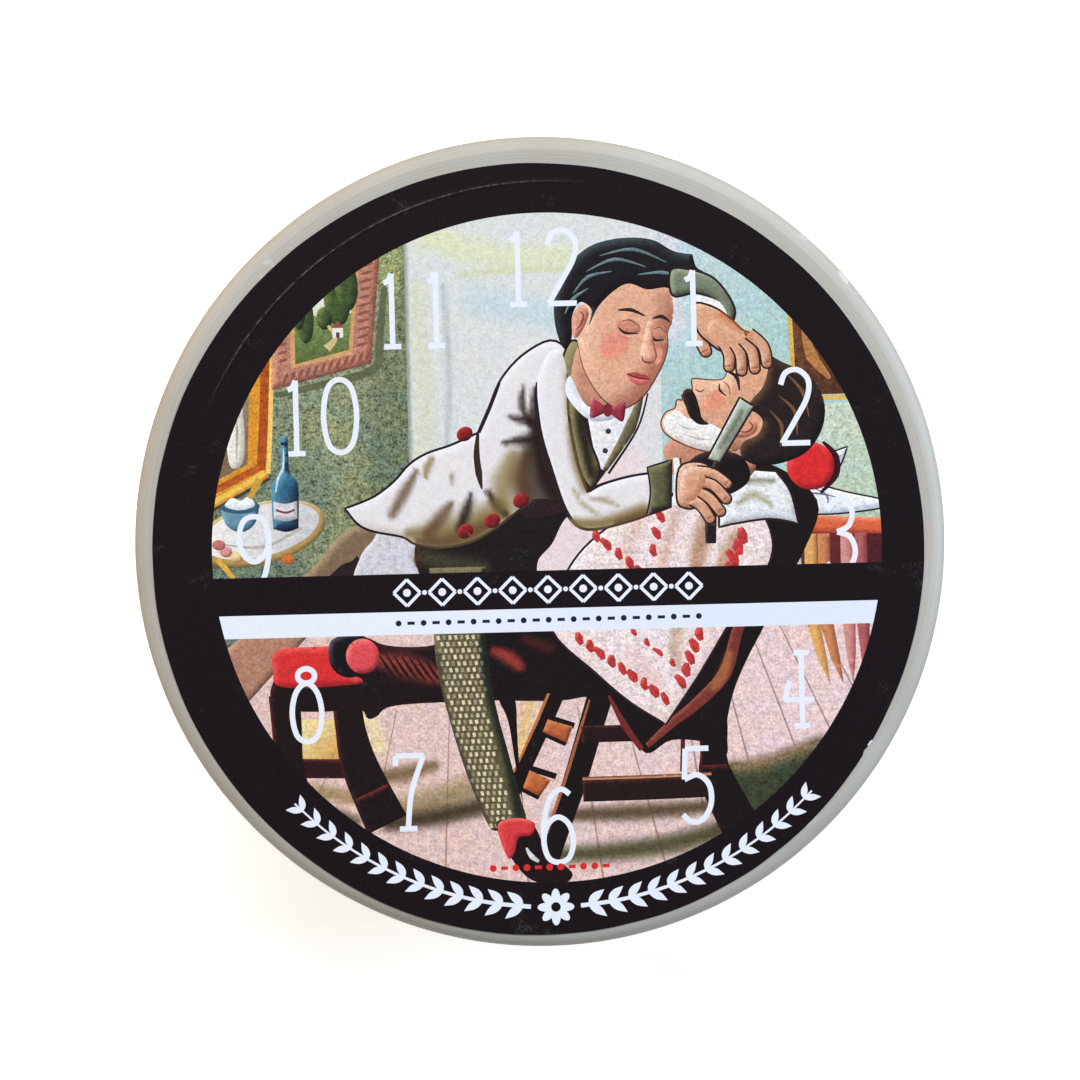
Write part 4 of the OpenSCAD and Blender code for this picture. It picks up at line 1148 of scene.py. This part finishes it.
def draw_numerals():
    """One to twelve round the picture, like a clock's, in thin white strokes."""
    digits = digit_strokes()
    tall, wide, gap, thick = 8.3, 8, 5, 0.62
    dial_x, dial_y = 33, 31.6
    nudge = {1: (0.8, -0.5), 2: (0, -0.5), 3: (0.3, 0.6), 4: (-0.3, -1), 5: (-0.2, 0), 6: (0.5, 0),
        7: (0.3, 0), 8: (0.9, -1.4), 9: (-0.2, 0.2), 10: (3, -0.3), 11: (2.1, 0), 12: (0, 0.2)}
    for hour, (dx, dy) in nudge.items():
        turn = radians(30 * hour)
        middle = dial_x * sin(turn) + dx
        foot = dial_y * cos(turn) + dy - tall / 2
        text = str(hour)
        for k, digit in enumerate(text):
            x = middle + gap * (k - (len(text) - 1) / 2)
            for lines, closed in zip(digits[digit], (True, False)):
                for line in lines:
                    points = [(x + wide * px, foot + tall * py) for px, py in line]
                    stroke(points, thick, WHITE, closed=closed, mottle=0.1)


def draw_garland():
    """A laurel along the foot of the dark ring, and a row of small red dots above it."""
    mid_r = 40.8
    for side in (-1, 1):
        turns = [radians(side * a) for a in range(4, 47, 6)]
        stem = [(mid_r * sin(a), -mid_r * cos(a)) for a in turns]
        stroke(stem, [0.5, 0.3, 0.2], WHITE, mottle=0.1, clip=False)
        for i in range(13):
            turn = 5.2 + 3.25 * i
            for out in (-1, 1):
                leaf = [(0, 0, 0), (0.62, 0.5), (1.5, 0.52), (2.5, 0, 0), (1.4, -0.36), (0.6, -0.3)]
                size = 1 - 0.018 * i
                lean = 38 * out
                at = radians(turn)
                place = (side * mid_r * sin(at), -mid_r * cos(at))
                turned = moved(curve(leaf, steps=4), 0, 0, size, lean)
                turned = moved(turned, 0, 0, 1, turn)
                turned[:, 0] *= side
                paint(turned + place, WHITE, mottle=0.1, clip=False)
    for k in range(8):
        petal = moved(oval(1.15, 0, 0.95, 0.5, steps=14), 0, -mid_r, 1, 45 * k)
        paint(petal, WHITE, mottle=0.1, clip=False)
    paint(oval(0, -mid_r, 0.55, 0.55, steps=14), BLACK, mottle=0.2, clip=False)
    stroke([(35.9, -23.4), (36.3, -22.9), (36.9, -22.9)], 0.24, WHITE, mottle=0.1, clip=False)
    for i in range(11):
        x = 1.28 * (i - 5) - 0.6
        square, spot = quad(x - 0.4, -36.45, x + 0.4, -36.05), oval(x, -36.25, 0.4, 0.4, steps=12)
        paint(square if i % 3 == 1 else spot, (206, 44, 44), mottle=0.3, clip=False)


def draw_picture():
    for part in (draw_room, draw_floor, draw_mirror, draw_landscape, draw_right_side, draw_tray,
            draw_footrest, draw_chair, draw_trousers, draw_cape, draw_sitter_head, draw_coat,
            draw_barber_head, draw_hands, draw_numerals, draw_bands, draw_garland):
        part()


def inside(points, outline):
    """Which points lie within a closed outline."""
    a, b = outline, np.roll(outline, -1, axis=0)
    x, y = points[:, :1], points[:, 1:]
    spans = (a[:, 1] > y) != (b[:, 1] > y)
    with np.errstate(divide="ignore", invalid="ignore"):
        cross = a[:, 0] + (y - a[:, 1]) * (b[:, 0] - a[:, 0]) / (b[:, 1] - a[:, 1])
    return (spans & (x < cross)).sum(axis=1) % 2 == 1


def edge_light(points, outline, soft):
    """For each point, how close it is to the outline's edge, and how far that edge faces the sun."""
    a = outline
    step = np.roll(outline, -1, axis=0) - a
    along = points[:, None, :] - a[None]
    t = (along * step).sum(2) / ((step ** 2).sum(1) + 1e-12)
    gap = along - np.clip(t, 0, 1)[..., None] * step
    far = np.hypot(gap[..., 0], gap[..., 1])
    near = far.argmin(axis=1)
    each = np.arange(len(points))
    away = -gap[each, near]
    dist = far[each, near]
    area = (a[:, 0] * np.roll(a[:, 1], -1) - np.roll(a[:, 0], -1) * a[:, 1]).sum()
    normal = np.c_[step[near, 1], -step[near, 0]] * np.sign(area)
    away = np.where(dist[:, None] > 1e-4, away, normal)
    away = away / (np.hypot(*away.T)[:, None] + 1e-9)
    close = np.clip(1 - dist / soft, 0, 1)
    return close * close * (3 - 2 * close), away @ np.array(SUN)


def layer_colours(layer, points):
    """Colours of one layer at some points, from 0 to 255."""
    out = np.tile(np.array(layer["colour"], float), (len(points), 1))
    if layer["to"]:
        (x0, y0), (x1, y1) = layer["along"]
        way = np.array((x1 - x0, y1 - y0), float)
        t = np.clip((points - (x0, y0)) @ way / (way @ way), 0, 1)[:, None]
        out += (np.array(layer["to"]) - out) * t
    if layer["light"] or layer["dark"]:
        close, facing = edge_light(points, layer["outline"], layer["soft"])
        for tone, sign in ((layer["light"], 1), (layer["dark"], -1)):
            if tone:
                t = (close * np.clip(sign * facing * 1.3, 0, 1))[:, None]
                out += (np.array(tone) - out) * t
    return out


def airbrushed(layer, points, colours):
    """Fades the colours towards a soft layer's tint, close to its line."""
    line, wide = layer["line"], layer["wide"]
    start, step = line[:-1], np.diff(line, axis=0)
    along = points[:, None, :] - start[None]
    t = np.clip((along * step).sum(2) / ((step ** 2).sum(1) + 1e-12), 0, 1)
    gap = np.hypot(*(along - t[..., None] * step).transpose(2, 0, 1))
    share = gap / (wide[:-1] + (wide[1:] - wide[:-1]) * t)
    fade = np.clip(1 - share.min(axis=1) ** 2, 0, 1) ** 2 * layer["strength"]
    return colours + (np.array(layer["colour"]) - colours) * fade[:, None]


def shaded(points, top):
    """Colour (0 to 255) and mottle at some points, each on a known topmost layer."""
    out = np.empty((len(points), 4))
    out[:] = (*BLACK, 0.3)
    for i, layer in enumerate(LAYERS):
        if layer["outline"] is None:
            reach = layer["wide"].max()
            low, high = layer["line"].min(axis=0) - reach, layer["line"].max(axis=0) + reach
            mine = (top >= layer["since"]) & (top < i)
            mine &= ((points > low) & (points < high)).all(axis=1)
            if mine.any():
                out[mine, :3] = airbrushed(layer, points[mine], out[mine, :3])
            continue
        mine = top == i
        if mine.any():
            out[mine, :3] = layer_colours(layer, points[mine])
            out[mine, 3] = layer["mottle"]
    return out


def topmost(points):
    """Number of the layer seen at each point, or -1 for the bare black."""
    top = np.full(len(points), -1)
    in_picture = np.hypot(*points.T) < PICTURE_R
    for i, layer in enumerate(LAYERS):
        if layer["outline"] is None:
            continue
        low, high = layer["outline"].min(axis=0), layer["outline"].max(axis=0)
        near = ((points >= low) & (points <= high)).all(axis=1)
        if layer["clip"]:
            near &= in_picture
        near = np.flatnonzero(near)
        top[near[inside(points[near], layer["outline"])]] = i
    return top


# ---------------------------------------------------------------- the label's sheet

PRINT_X, PRINT_Y = 0.8, -0.7       # the picture's middle, from the tub's axis
PRINT_TILT = 1.45                  # degrees anticlockwise
PAPER = (226, 222, 212)
SHEET_T = 0.085                    # paper and film; the crease stands above it
CREASE_R = 41.9
CREASE_X, CREASE_Y = 1.0, -1.0
FINE, COARSE = 0.42, 1.3           # spacing of the mesh in the picture and in the ring
LINE = 0.5                         # longest straight piece of a drawn line


def sheet_edge():
    """The label's hand-cut outline: a circle with slow wobbles, small flats and a nick."""
    points = []
    for k in range(420):
        a = tau * k / 420
        r = LABEL_R - 0.10 + 0.045 * sin(3 * a + 0.6) + 0.03 * sin(7 * a + 2.0)
        r += 0.05 * noise.noise(Vector((cos(a) * 9, sin(a) * 9, 4.0)))
        r -= 0.22 * smooth(1 - abs(a - radians(328.5)) / radians(1.0))
        points.append((LABEL_X + r * cos(a), LABEL_Y + r * sin(a)))
    return np.array(points)


def sheet_height(x, y):
    """Top of the paper: level, with a soft crease near the upper edge."""
    dx, dy = x - CREASE_X, y - CREASE_Y
    turn = degrees(atan2(dy, dx)) % 360
    strong = smooth((turn - 79) / 12) * smooth((159 - turn) / 10)
    off = hypot(dx, dy) - CREASE_R
    ridge_up = strong * 0.022 * np.exp(-(off / 0.22) ** 2)
    return LID_Z + SHEET_T + ridge_up


def clipped(a, b, r):
    """The part of a straight line inside a circle round the origin, or nothing."""
    way = b - a
    qa = way @ way
    qb = a @ way
    qc = a @ a - r * r
    root = qb * qb - qa * qc
    if qa < 1e-12 or root <= 0:
        return None
    t0 = max(0.0, (-qb - sqrt(root)) / qa)
    t1 = min(1.0, (-qb + sqrt(root)) / qa)
    return (a + way * t0, a + way * t1) if t1 - t0 > 1e-6 else None


def to_lid(points):
    """From the print's own axes to the lid's."""
    c, s = cos(radians(PRINT_TILT)), sin(radians(PRINT_TILT))
    return np.asarray(points) @ np.array([(c, s), (-s, c)]) + (PRINT_X, PRINT_Y)


def to_print(points):
    c, s = cos(radians(PRINT_TILT)), sin(radians(PRINT_TILT))
    return (np.asarray(points) - (PRINT_X, PRINT_Y)) @ np.array([(c, -s), (s, c)])


def seen(pieces):
    """Which short lines part two different layers, rather than lie hidden under one."""
    a, b = pieces[:, 0], pieces[:, 1]
    way = b - a
    side = np.c_[-way[:, 1], way[:, 0]] / (np.hypot(*way.T)[:, None] + 1e-12) * 0.012
    found = np.zeros(len(pieces), bool)
    for t in (0.05, 0.5, 0.95):
        middle = a + way * t
        found |= topmost(middle + side) != topmost(middle - side)
    return found


def sheet_lines(edge):
    """Every line that the sheet's triangles have to follow, as pairs of points."""
    circle = oval(0, 0, PICTURE_R, PICTURE_R, steps=240)
    shapes = [(layer["outline"], layer["clip"]) for layer in LAYERS if layer["outline"] is not None]
    pieces = []
    for outline, clip in shapes + [(circle, False)]:
        for a, b in zip(outline, np.roll(outline, -1, axis=0)):
            pair = clipped(a, b, PICTURE_R) if clip else (a, b)
            if pair:
                a, b = pair
                n = ceil(hypot(*(b - a)) / LINE)
                stops = a + (b - a) * np.linspace(0, 1, n + 1)[:, None]
                pieces += zip(stops[:-1], stops[1:])
    pieces = np.array(pieces)
    lines = to_lid(pieces[seen(pieces)])
    return np.concatenate([lines, np.stack([edge, np.roll(edge, -1, axis=0)], axis=1)])


def filling(edge):
    """Loose points that keep triangles small, closer together in the picture and the crease."""
    rng = np.random.default_rng(7)
    points = []
    for step, low, high in ((FINE, 0, PICTURE_R - 0.1), (COARSE, PICTURE_R + 0.5, LABEL_R - 1.2)):
        n = int(2 * high / step) + 2
        x, y = np.meshgrid(np.arange(n) * step - high, np.arange(n) * step - high)
        grid = np.c_[x.ravel(), y.ravel()] + rng.uniform(-0.25, 0.25, (n * n, 2)) * step
        r = np.hypot(*grid.T)
        points.append(to_lid(grid[(r > low) & (r < high)]))
    for off in (-0.5, -0.3, -0.15, 0, 0.15, 0.3, 0.5):
        turn = np.radians(np.arange(78, 161, 0.6))
        r = CREASE_R + off
        points.append(np.c_[CREASE_X + r * np.cos(turn), CREASE_Y + r * np.sin(turn)])
    points = np.vstack(points)
    return points[inside(points, edge * 0.998)]


def ink(places, faces):
    """Colour at each corner of each triangle: 0 to 1 linear, with the print's mottle last."""
    corners = to_print(places)[faces]
    top = topmost(corners.mean(axis=1))
    out = shaded(corners.reshape(-1, 2), np.repeat(top, 3))
    rgb = np.clip(out[:, :3] / 255, 0, 1)
    out[:, :3] = np.where(rgb < 0.04045, rgb / 12.92, ((rgb + 0.055) / 1.055) ** 2.4)
    return out


def sheet_triangles(edge):
    """Triangles of the label's top, as points and index triples."""
    lines = sheet_lines(edge)
    ends = np.vstack([lines.reshape(-1, 2), filling(edge)])
    pairs = [(2 * i, 2 * i + 1) for i in range(len(lines))]
    done = delaunay_2d_cdt([Vector(p) for p in ends], pairs, [], 0, 0.004, False)
    places = np.array([tuple(p) for p in done[0]])
    faces = np.array(done[2])
    a, b, c = (places[faces[:, k]] for k in range(3))
    area = (b - a)[:, 0] * (c - a)[:, 1] - (b - a)[:, 1] * (c - a)[:, 0]
    keep = inside((a + b + c) / 3, edge) & (np.abs(area) > 1e-9)
    faces, area = faces[keep], area[keep]
    faces[area < 0] = faces[area < 0][:, ::-1]
    return places, faces


def outer_loop(faces):
    """The sheet's border, as point numbers in order, anticlockwise."""
    edges = {(t[k], t[(k + 1) % 3]) for t in faces.tolist() for k in range(3)}
    onward = {a: b for a, b in edges if (b, a) not in edges}
    loop = [next(iter(sorted(onward)))]
    while onward[loop[-1]] != loop[0]:
        loop.append(onward[loop[-1]])
    return loop


def make_label():
    """The printed sheet: a closed thin body whose top carries the drawing as corner colours."""
    draw_picture()
    edge = sheet_edge()
    places, faces = sheet_triangles(edge)
    used, faces = np.unique(faces, return_inverse=True)
    places, faces = places[used], faces.reshape(-1, 3)
    colours = ink(places, faces)
    loop = outer_loop(faces)
    tops = [(x, y, sheet_height(x, y)) for x, y in places]
    feet = [(places[i][0], places[i][1], LID_Z) for i in loop]
    first = len(tops)
    n = len(loop)
    sides = [(loop[k], first + k, first + (k + 1) % n, loop[(k + 1) % n]) for k in range(n)]
    below = [tuple(range(first + n - 1, first - 1, -1))]
    mesh = bpy.data.meshes.new("printed_label")
    verts = [(x * MM, y * MM, z * MM) for x, y, z in tops + feet]
    mesh.from_pydata(verts, [], faces.tolist() + sides + below)
    paint_corners(mesh, colours, len(faces))
    unfold(mesh, len(faces), first)
    mesh.shade_flat()
    label = bpy.data.objects.new("printed_label", mesh)
    bpy.context.collection.objects.link(label)
    return label


def paint_corners(mesh, colours, tops):
    """Writes the ink to the mesh, and plain paper on its cut edge and back."""
    rgb = [((c / 255 + 0.055) / 1.055) ** 2.4 for c in PAPER]
    flat = np.tile((*rgb, 0.2), (len(mesh.loops), 1))
    flat[:3 * tops] = colours.reshape(-1, 4)
    layer = mesh.color_attributes.new("Ink", "FLOAT_COLOR", "CORNER")
    layer.data.foreach_set("color", flat.ravel())


def unfold(mesh, tops, first):
    """Lays the top flat across the square, with the back and the cut edge in two corners."""
    where = np.array([v.co[:2] for v in mesh.vertices]) / MM - (LABEL_X, LABEL_Y)
    index = np.array([loop.vertex_index for loop in mesh.loops])
    uv = 0.5 + where[index] * 0.485 / LABEL_R
    back = len(mesh.vertices) - first
    side = slice(3 * tops, len(mesh.loops) - back)
    lower = (index[side] >= first)[:, None]
    ring = where[index[side]] / LABEL_R * np.where(lower, 0.055, 0.075)
    uv[side] = 0.92 + ring
    uv[len(mesh.loops) - back:] = 0.085 + where[index[len(mesh.loops) - back:]] * 0.07 / LABEL_R
    layer = mesh.uv_layers.new(name="OFBake")
    layer.data.foreach_set("uv", uv.ravel())


def label_material():
    """Laser-printed satin film: grainy inks, faint scuffs, and a painted shine where the crease turns."""
    m = Nodes("label_paper")
    ink_node = m.add("ShaderNodeVertexColor", layer_name="Ink")
    colour, mottle = ink_node.outputs["Color"], ink_node.outputs["Alpha"]
    stipple = m.noise(3600.0, 2.0, 0.6)
    blot = m.noise(1300.0, 3.0, 0.6)
    cloud = m.noise(420.0, 2.0)
    push = m.math("ADD", m.fit(stipple, 0.3, 0.7, -0.19, 0.19), m.fit(blot, 0.3, 0.7, -0.16, 0.16))
    gain = m.math("ADD", m.math("MULTIPLY", push, mottle), 1.0)
    scaled = m.add("ShaderNodeVectorMath", {0: colour}, operation="SCALE")
    m.feed(scaled.inputs["Scale"], gain)
    warm = m.mix(1.0, scaled.outputs[0], (1.12, 1.0, 0.84, 1.0), "MULTIPLY")
    tint = m.math("MULTIPLY", m.fit(cloud, 0.35, 0.65), m.math("MULTIPLY", mottle, 0.4), clamp=True)
    printed = m.mix(tint, scaled.outputs[0], warm)
    rub = m.math("MULTIPLY", m.fit(m.noise(150.0, 6.0, 0.75), 0.6, 0.72), m.fit(stipple, 0.45, 0.6))
    printed = m.mix(m.math("MULTIPLY", rub, 0.10), printed, grey(0.5))
    crease = m.crease()
    # Painted highlight: along the crease the colour turns towards mid grey, a line of shine over the
    # sheet's small real ridge.
    printed = m.mix(m.math("MULTIPLY", crease, m.fit(blot, 0.4, 0.62, 0.02, 0.17)), printed, grey(0.5))
    toner = m.fit(m.noise(5200.0, 1.0), 0.62, 0.8, 0.0, 0.025)
    printed = m.mix(toner, printed, grey(0.7))
    m.set(Base_Color=printed, Roughness=m.fit(blot, 0.3, 0.7, 0.46, 0.58))
    m.set(Specular_IOR_Level=0.11)
    m.set(Normal=m.bump(stipple, 0.000006, 0.3))
    return m.material



def make_soap():
    """The puck: level pour with a soft swirl, a climbing rim and a shallow middle."""
    rad = (soap_high[0] - soap_low[0]) / 2
    low_r = FLOOR_R - SOAP_GAP
    top = SOAP_Z - CLIMB_H
    flat_r = rad - CLIMB_W - 0.3
    profile = [(0, FLOOR_Z), (20, FLOOR_Z)]
    profile += arc(low_r - CORNER_R, FLOOR_Z + CORNER_R, CORNER_R, -90, 0, 6)
    profile += rows(low_r, FLOOR_Z + CORNER_R, rad - 0.02, SOAP_Z - 0.1, 7)[1:]
    profile += arc(rad - 0.2, SOAP_Z - 0.2, 0.16, 0, 90, 4)
    profile += arc(rad - CLIMB_W, SOAP_Z + 0.55, 1.25, -40, -90, 6)
    first = len(profile)
    steps = 64
    profile += [(flat_r * (1 - i / steps), top) for i in range(steps)]
    profile.append((0, top - 0.25))

    def poured(i, a, r, z):
        if i < first:
            return r, z
        spiral = sin(2 * a + 0.16 * r) * 0.07 + sin(3 * a - 0.31 * r + 1.0) * 0.04
        lumps = noise.noise(Vector((r * cos(a), r * sin(a), 3.0)) * 0.11) * 0.22
        fade = smooth((flat_r - r) / 4)
        sag = 0.25 * smooth(1 - r / 30)
        return r, z - 0.1 * fade + fade * (spiral * smooth(r / 12) + lumps) * 0.7 - sag

    return revolve("poured_puck", profile, poured)


def make_liner():
    """The foam disc, pinched where it seals on the rim."""
    low, high = RIM_Z, liner_high[2]
    edge = 0.25
    pinch = ((-2.6, 0), (-1.7, 0.1), (-1.3, 1), (-0.3, 1), (0.1, 0.1))
    profile = [(0, low)] + [(NECK_R + out, low + PRESS_H * share) for out, share in pinch]
    profile += arc(LINER_R - edge, low + edge, edge, -90, 0, 4)
    profile += arc(LINER_R - edge, high - edge, edge, 0, 90, 4)
    profile += [(30, high), (0, high)]
    return revolve("foam_liner", profile)


# ---------------------------------------------------------------- floor, light and camera


def make_floor():
    bm = bmesh.new()
    bmesh.ops.create_grid(bm, x_segments=8, y_segments=8, size=1.5)
    floor = finished("studio_floor", bm)
    floor.location.z = -0.0001
    return floor


def area_light(name, place, aim, size, power, colour):
    data = bpy.data.lights.new(name, "AREA")
    data.shape = "RECTANGLE"
    data.size, data.size_y = size
    data.energy = power
    data.color = colour
    lamp = bpy.data.objects.new(name, data)
    lamp.location = place
    lamp.rotation_euler = (Vector(aim) - Vector(place)).to_track_quat("-Z", "Y").to_euler()
    bpy.context.collection.objects.link(lamp)
    return lamp


def make_camera():
    """Straight overhead. The lid's widest ring fills three quarters of the frame."""
    ring_z = (LID_Z - EDGE_R) * MM
    distance = 1.1
    share = 0.7496
    data = bpy.data.cameras.new("overhead")
    data.sensor_width = 36
    data.lens = data.sensor_width * distance * share / (2 * LID_R * MM)
    cam = bpy.data.objects.new("overhead", data)
    cam.location = (0.00002, 0.00015, ring_z + distance)
    bpy.context.collection.objects.link(cam)
    bpy.context.scene.camera = cam
    return cam


def light_scene():
    """Bright white tent: main light from the top of the frame, cool right, warm left."""
    scene = bpy.context.scene
    scene.view_settings.view_transform = "Standard"
    centre = (0, 0, LID_Z * MM)
    for name, place, size, power, colour in (
            ("key_top", (0.0, 0.70, 1.10), (0.9, 0.6), 14.0, (0.985, 0.985, 0.98)),
            ("cool_right", (0.95, 0.15, 0.45), (0.4, 0.9), 8.2, (0.62, 0.80, 1.0)),
            ("warm_left", (-0.85, 0.4, 0.45), (0.4, 0.8), 3.3, (1.0, 0.74, 0.46))):
        area_light(name, place, centre, size, power, colour)
    world = bpy.data.worlds.new("white_tent")
    world.use_nodes = True
    back = world.node_tree.nodes["Background"]
    back.inputs["Color"].default_value = (0.95, 0.97, 1.0, 1.0)
    back.inputs["Strength"].default_value = 0.16
    scene.world = world


def dress(piece, material, body, node):
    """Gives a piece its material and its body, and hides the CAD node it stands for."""
    piece.data.materials.append(material)
    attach(piece, body)
    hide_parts(node)


make_camera()
light_scene()
floor = make_floor()
floor.data.materials.append(floor_material())

pale = grey(0.44, (1.0, 0.96, 0.89))
deep = grey(0.40, (1.0, 0.95, 0.85))
dress(make_tub(), moulded_plastic("tub_plastic", pale, deep, filled=True), "tub", "tub")
dress(make_soap(), soap_material(), "tub", "soap_puck")
dress(make_liner(), liner_material(), "liner", "liner_wad")
# Darker, warmer colour painted on the lid's skirt and lower edge as shade.
warm = grey(0.29, (1.0, 0.91, 0.70))
lid_plastic = moulded_plastic("lid_plastic", pale, deep, skirt=warm)
dress(make_lid(), lid_plastic, "lid", "lid_shell")
dress(make_label(), label_material(), "lid", "top_label")
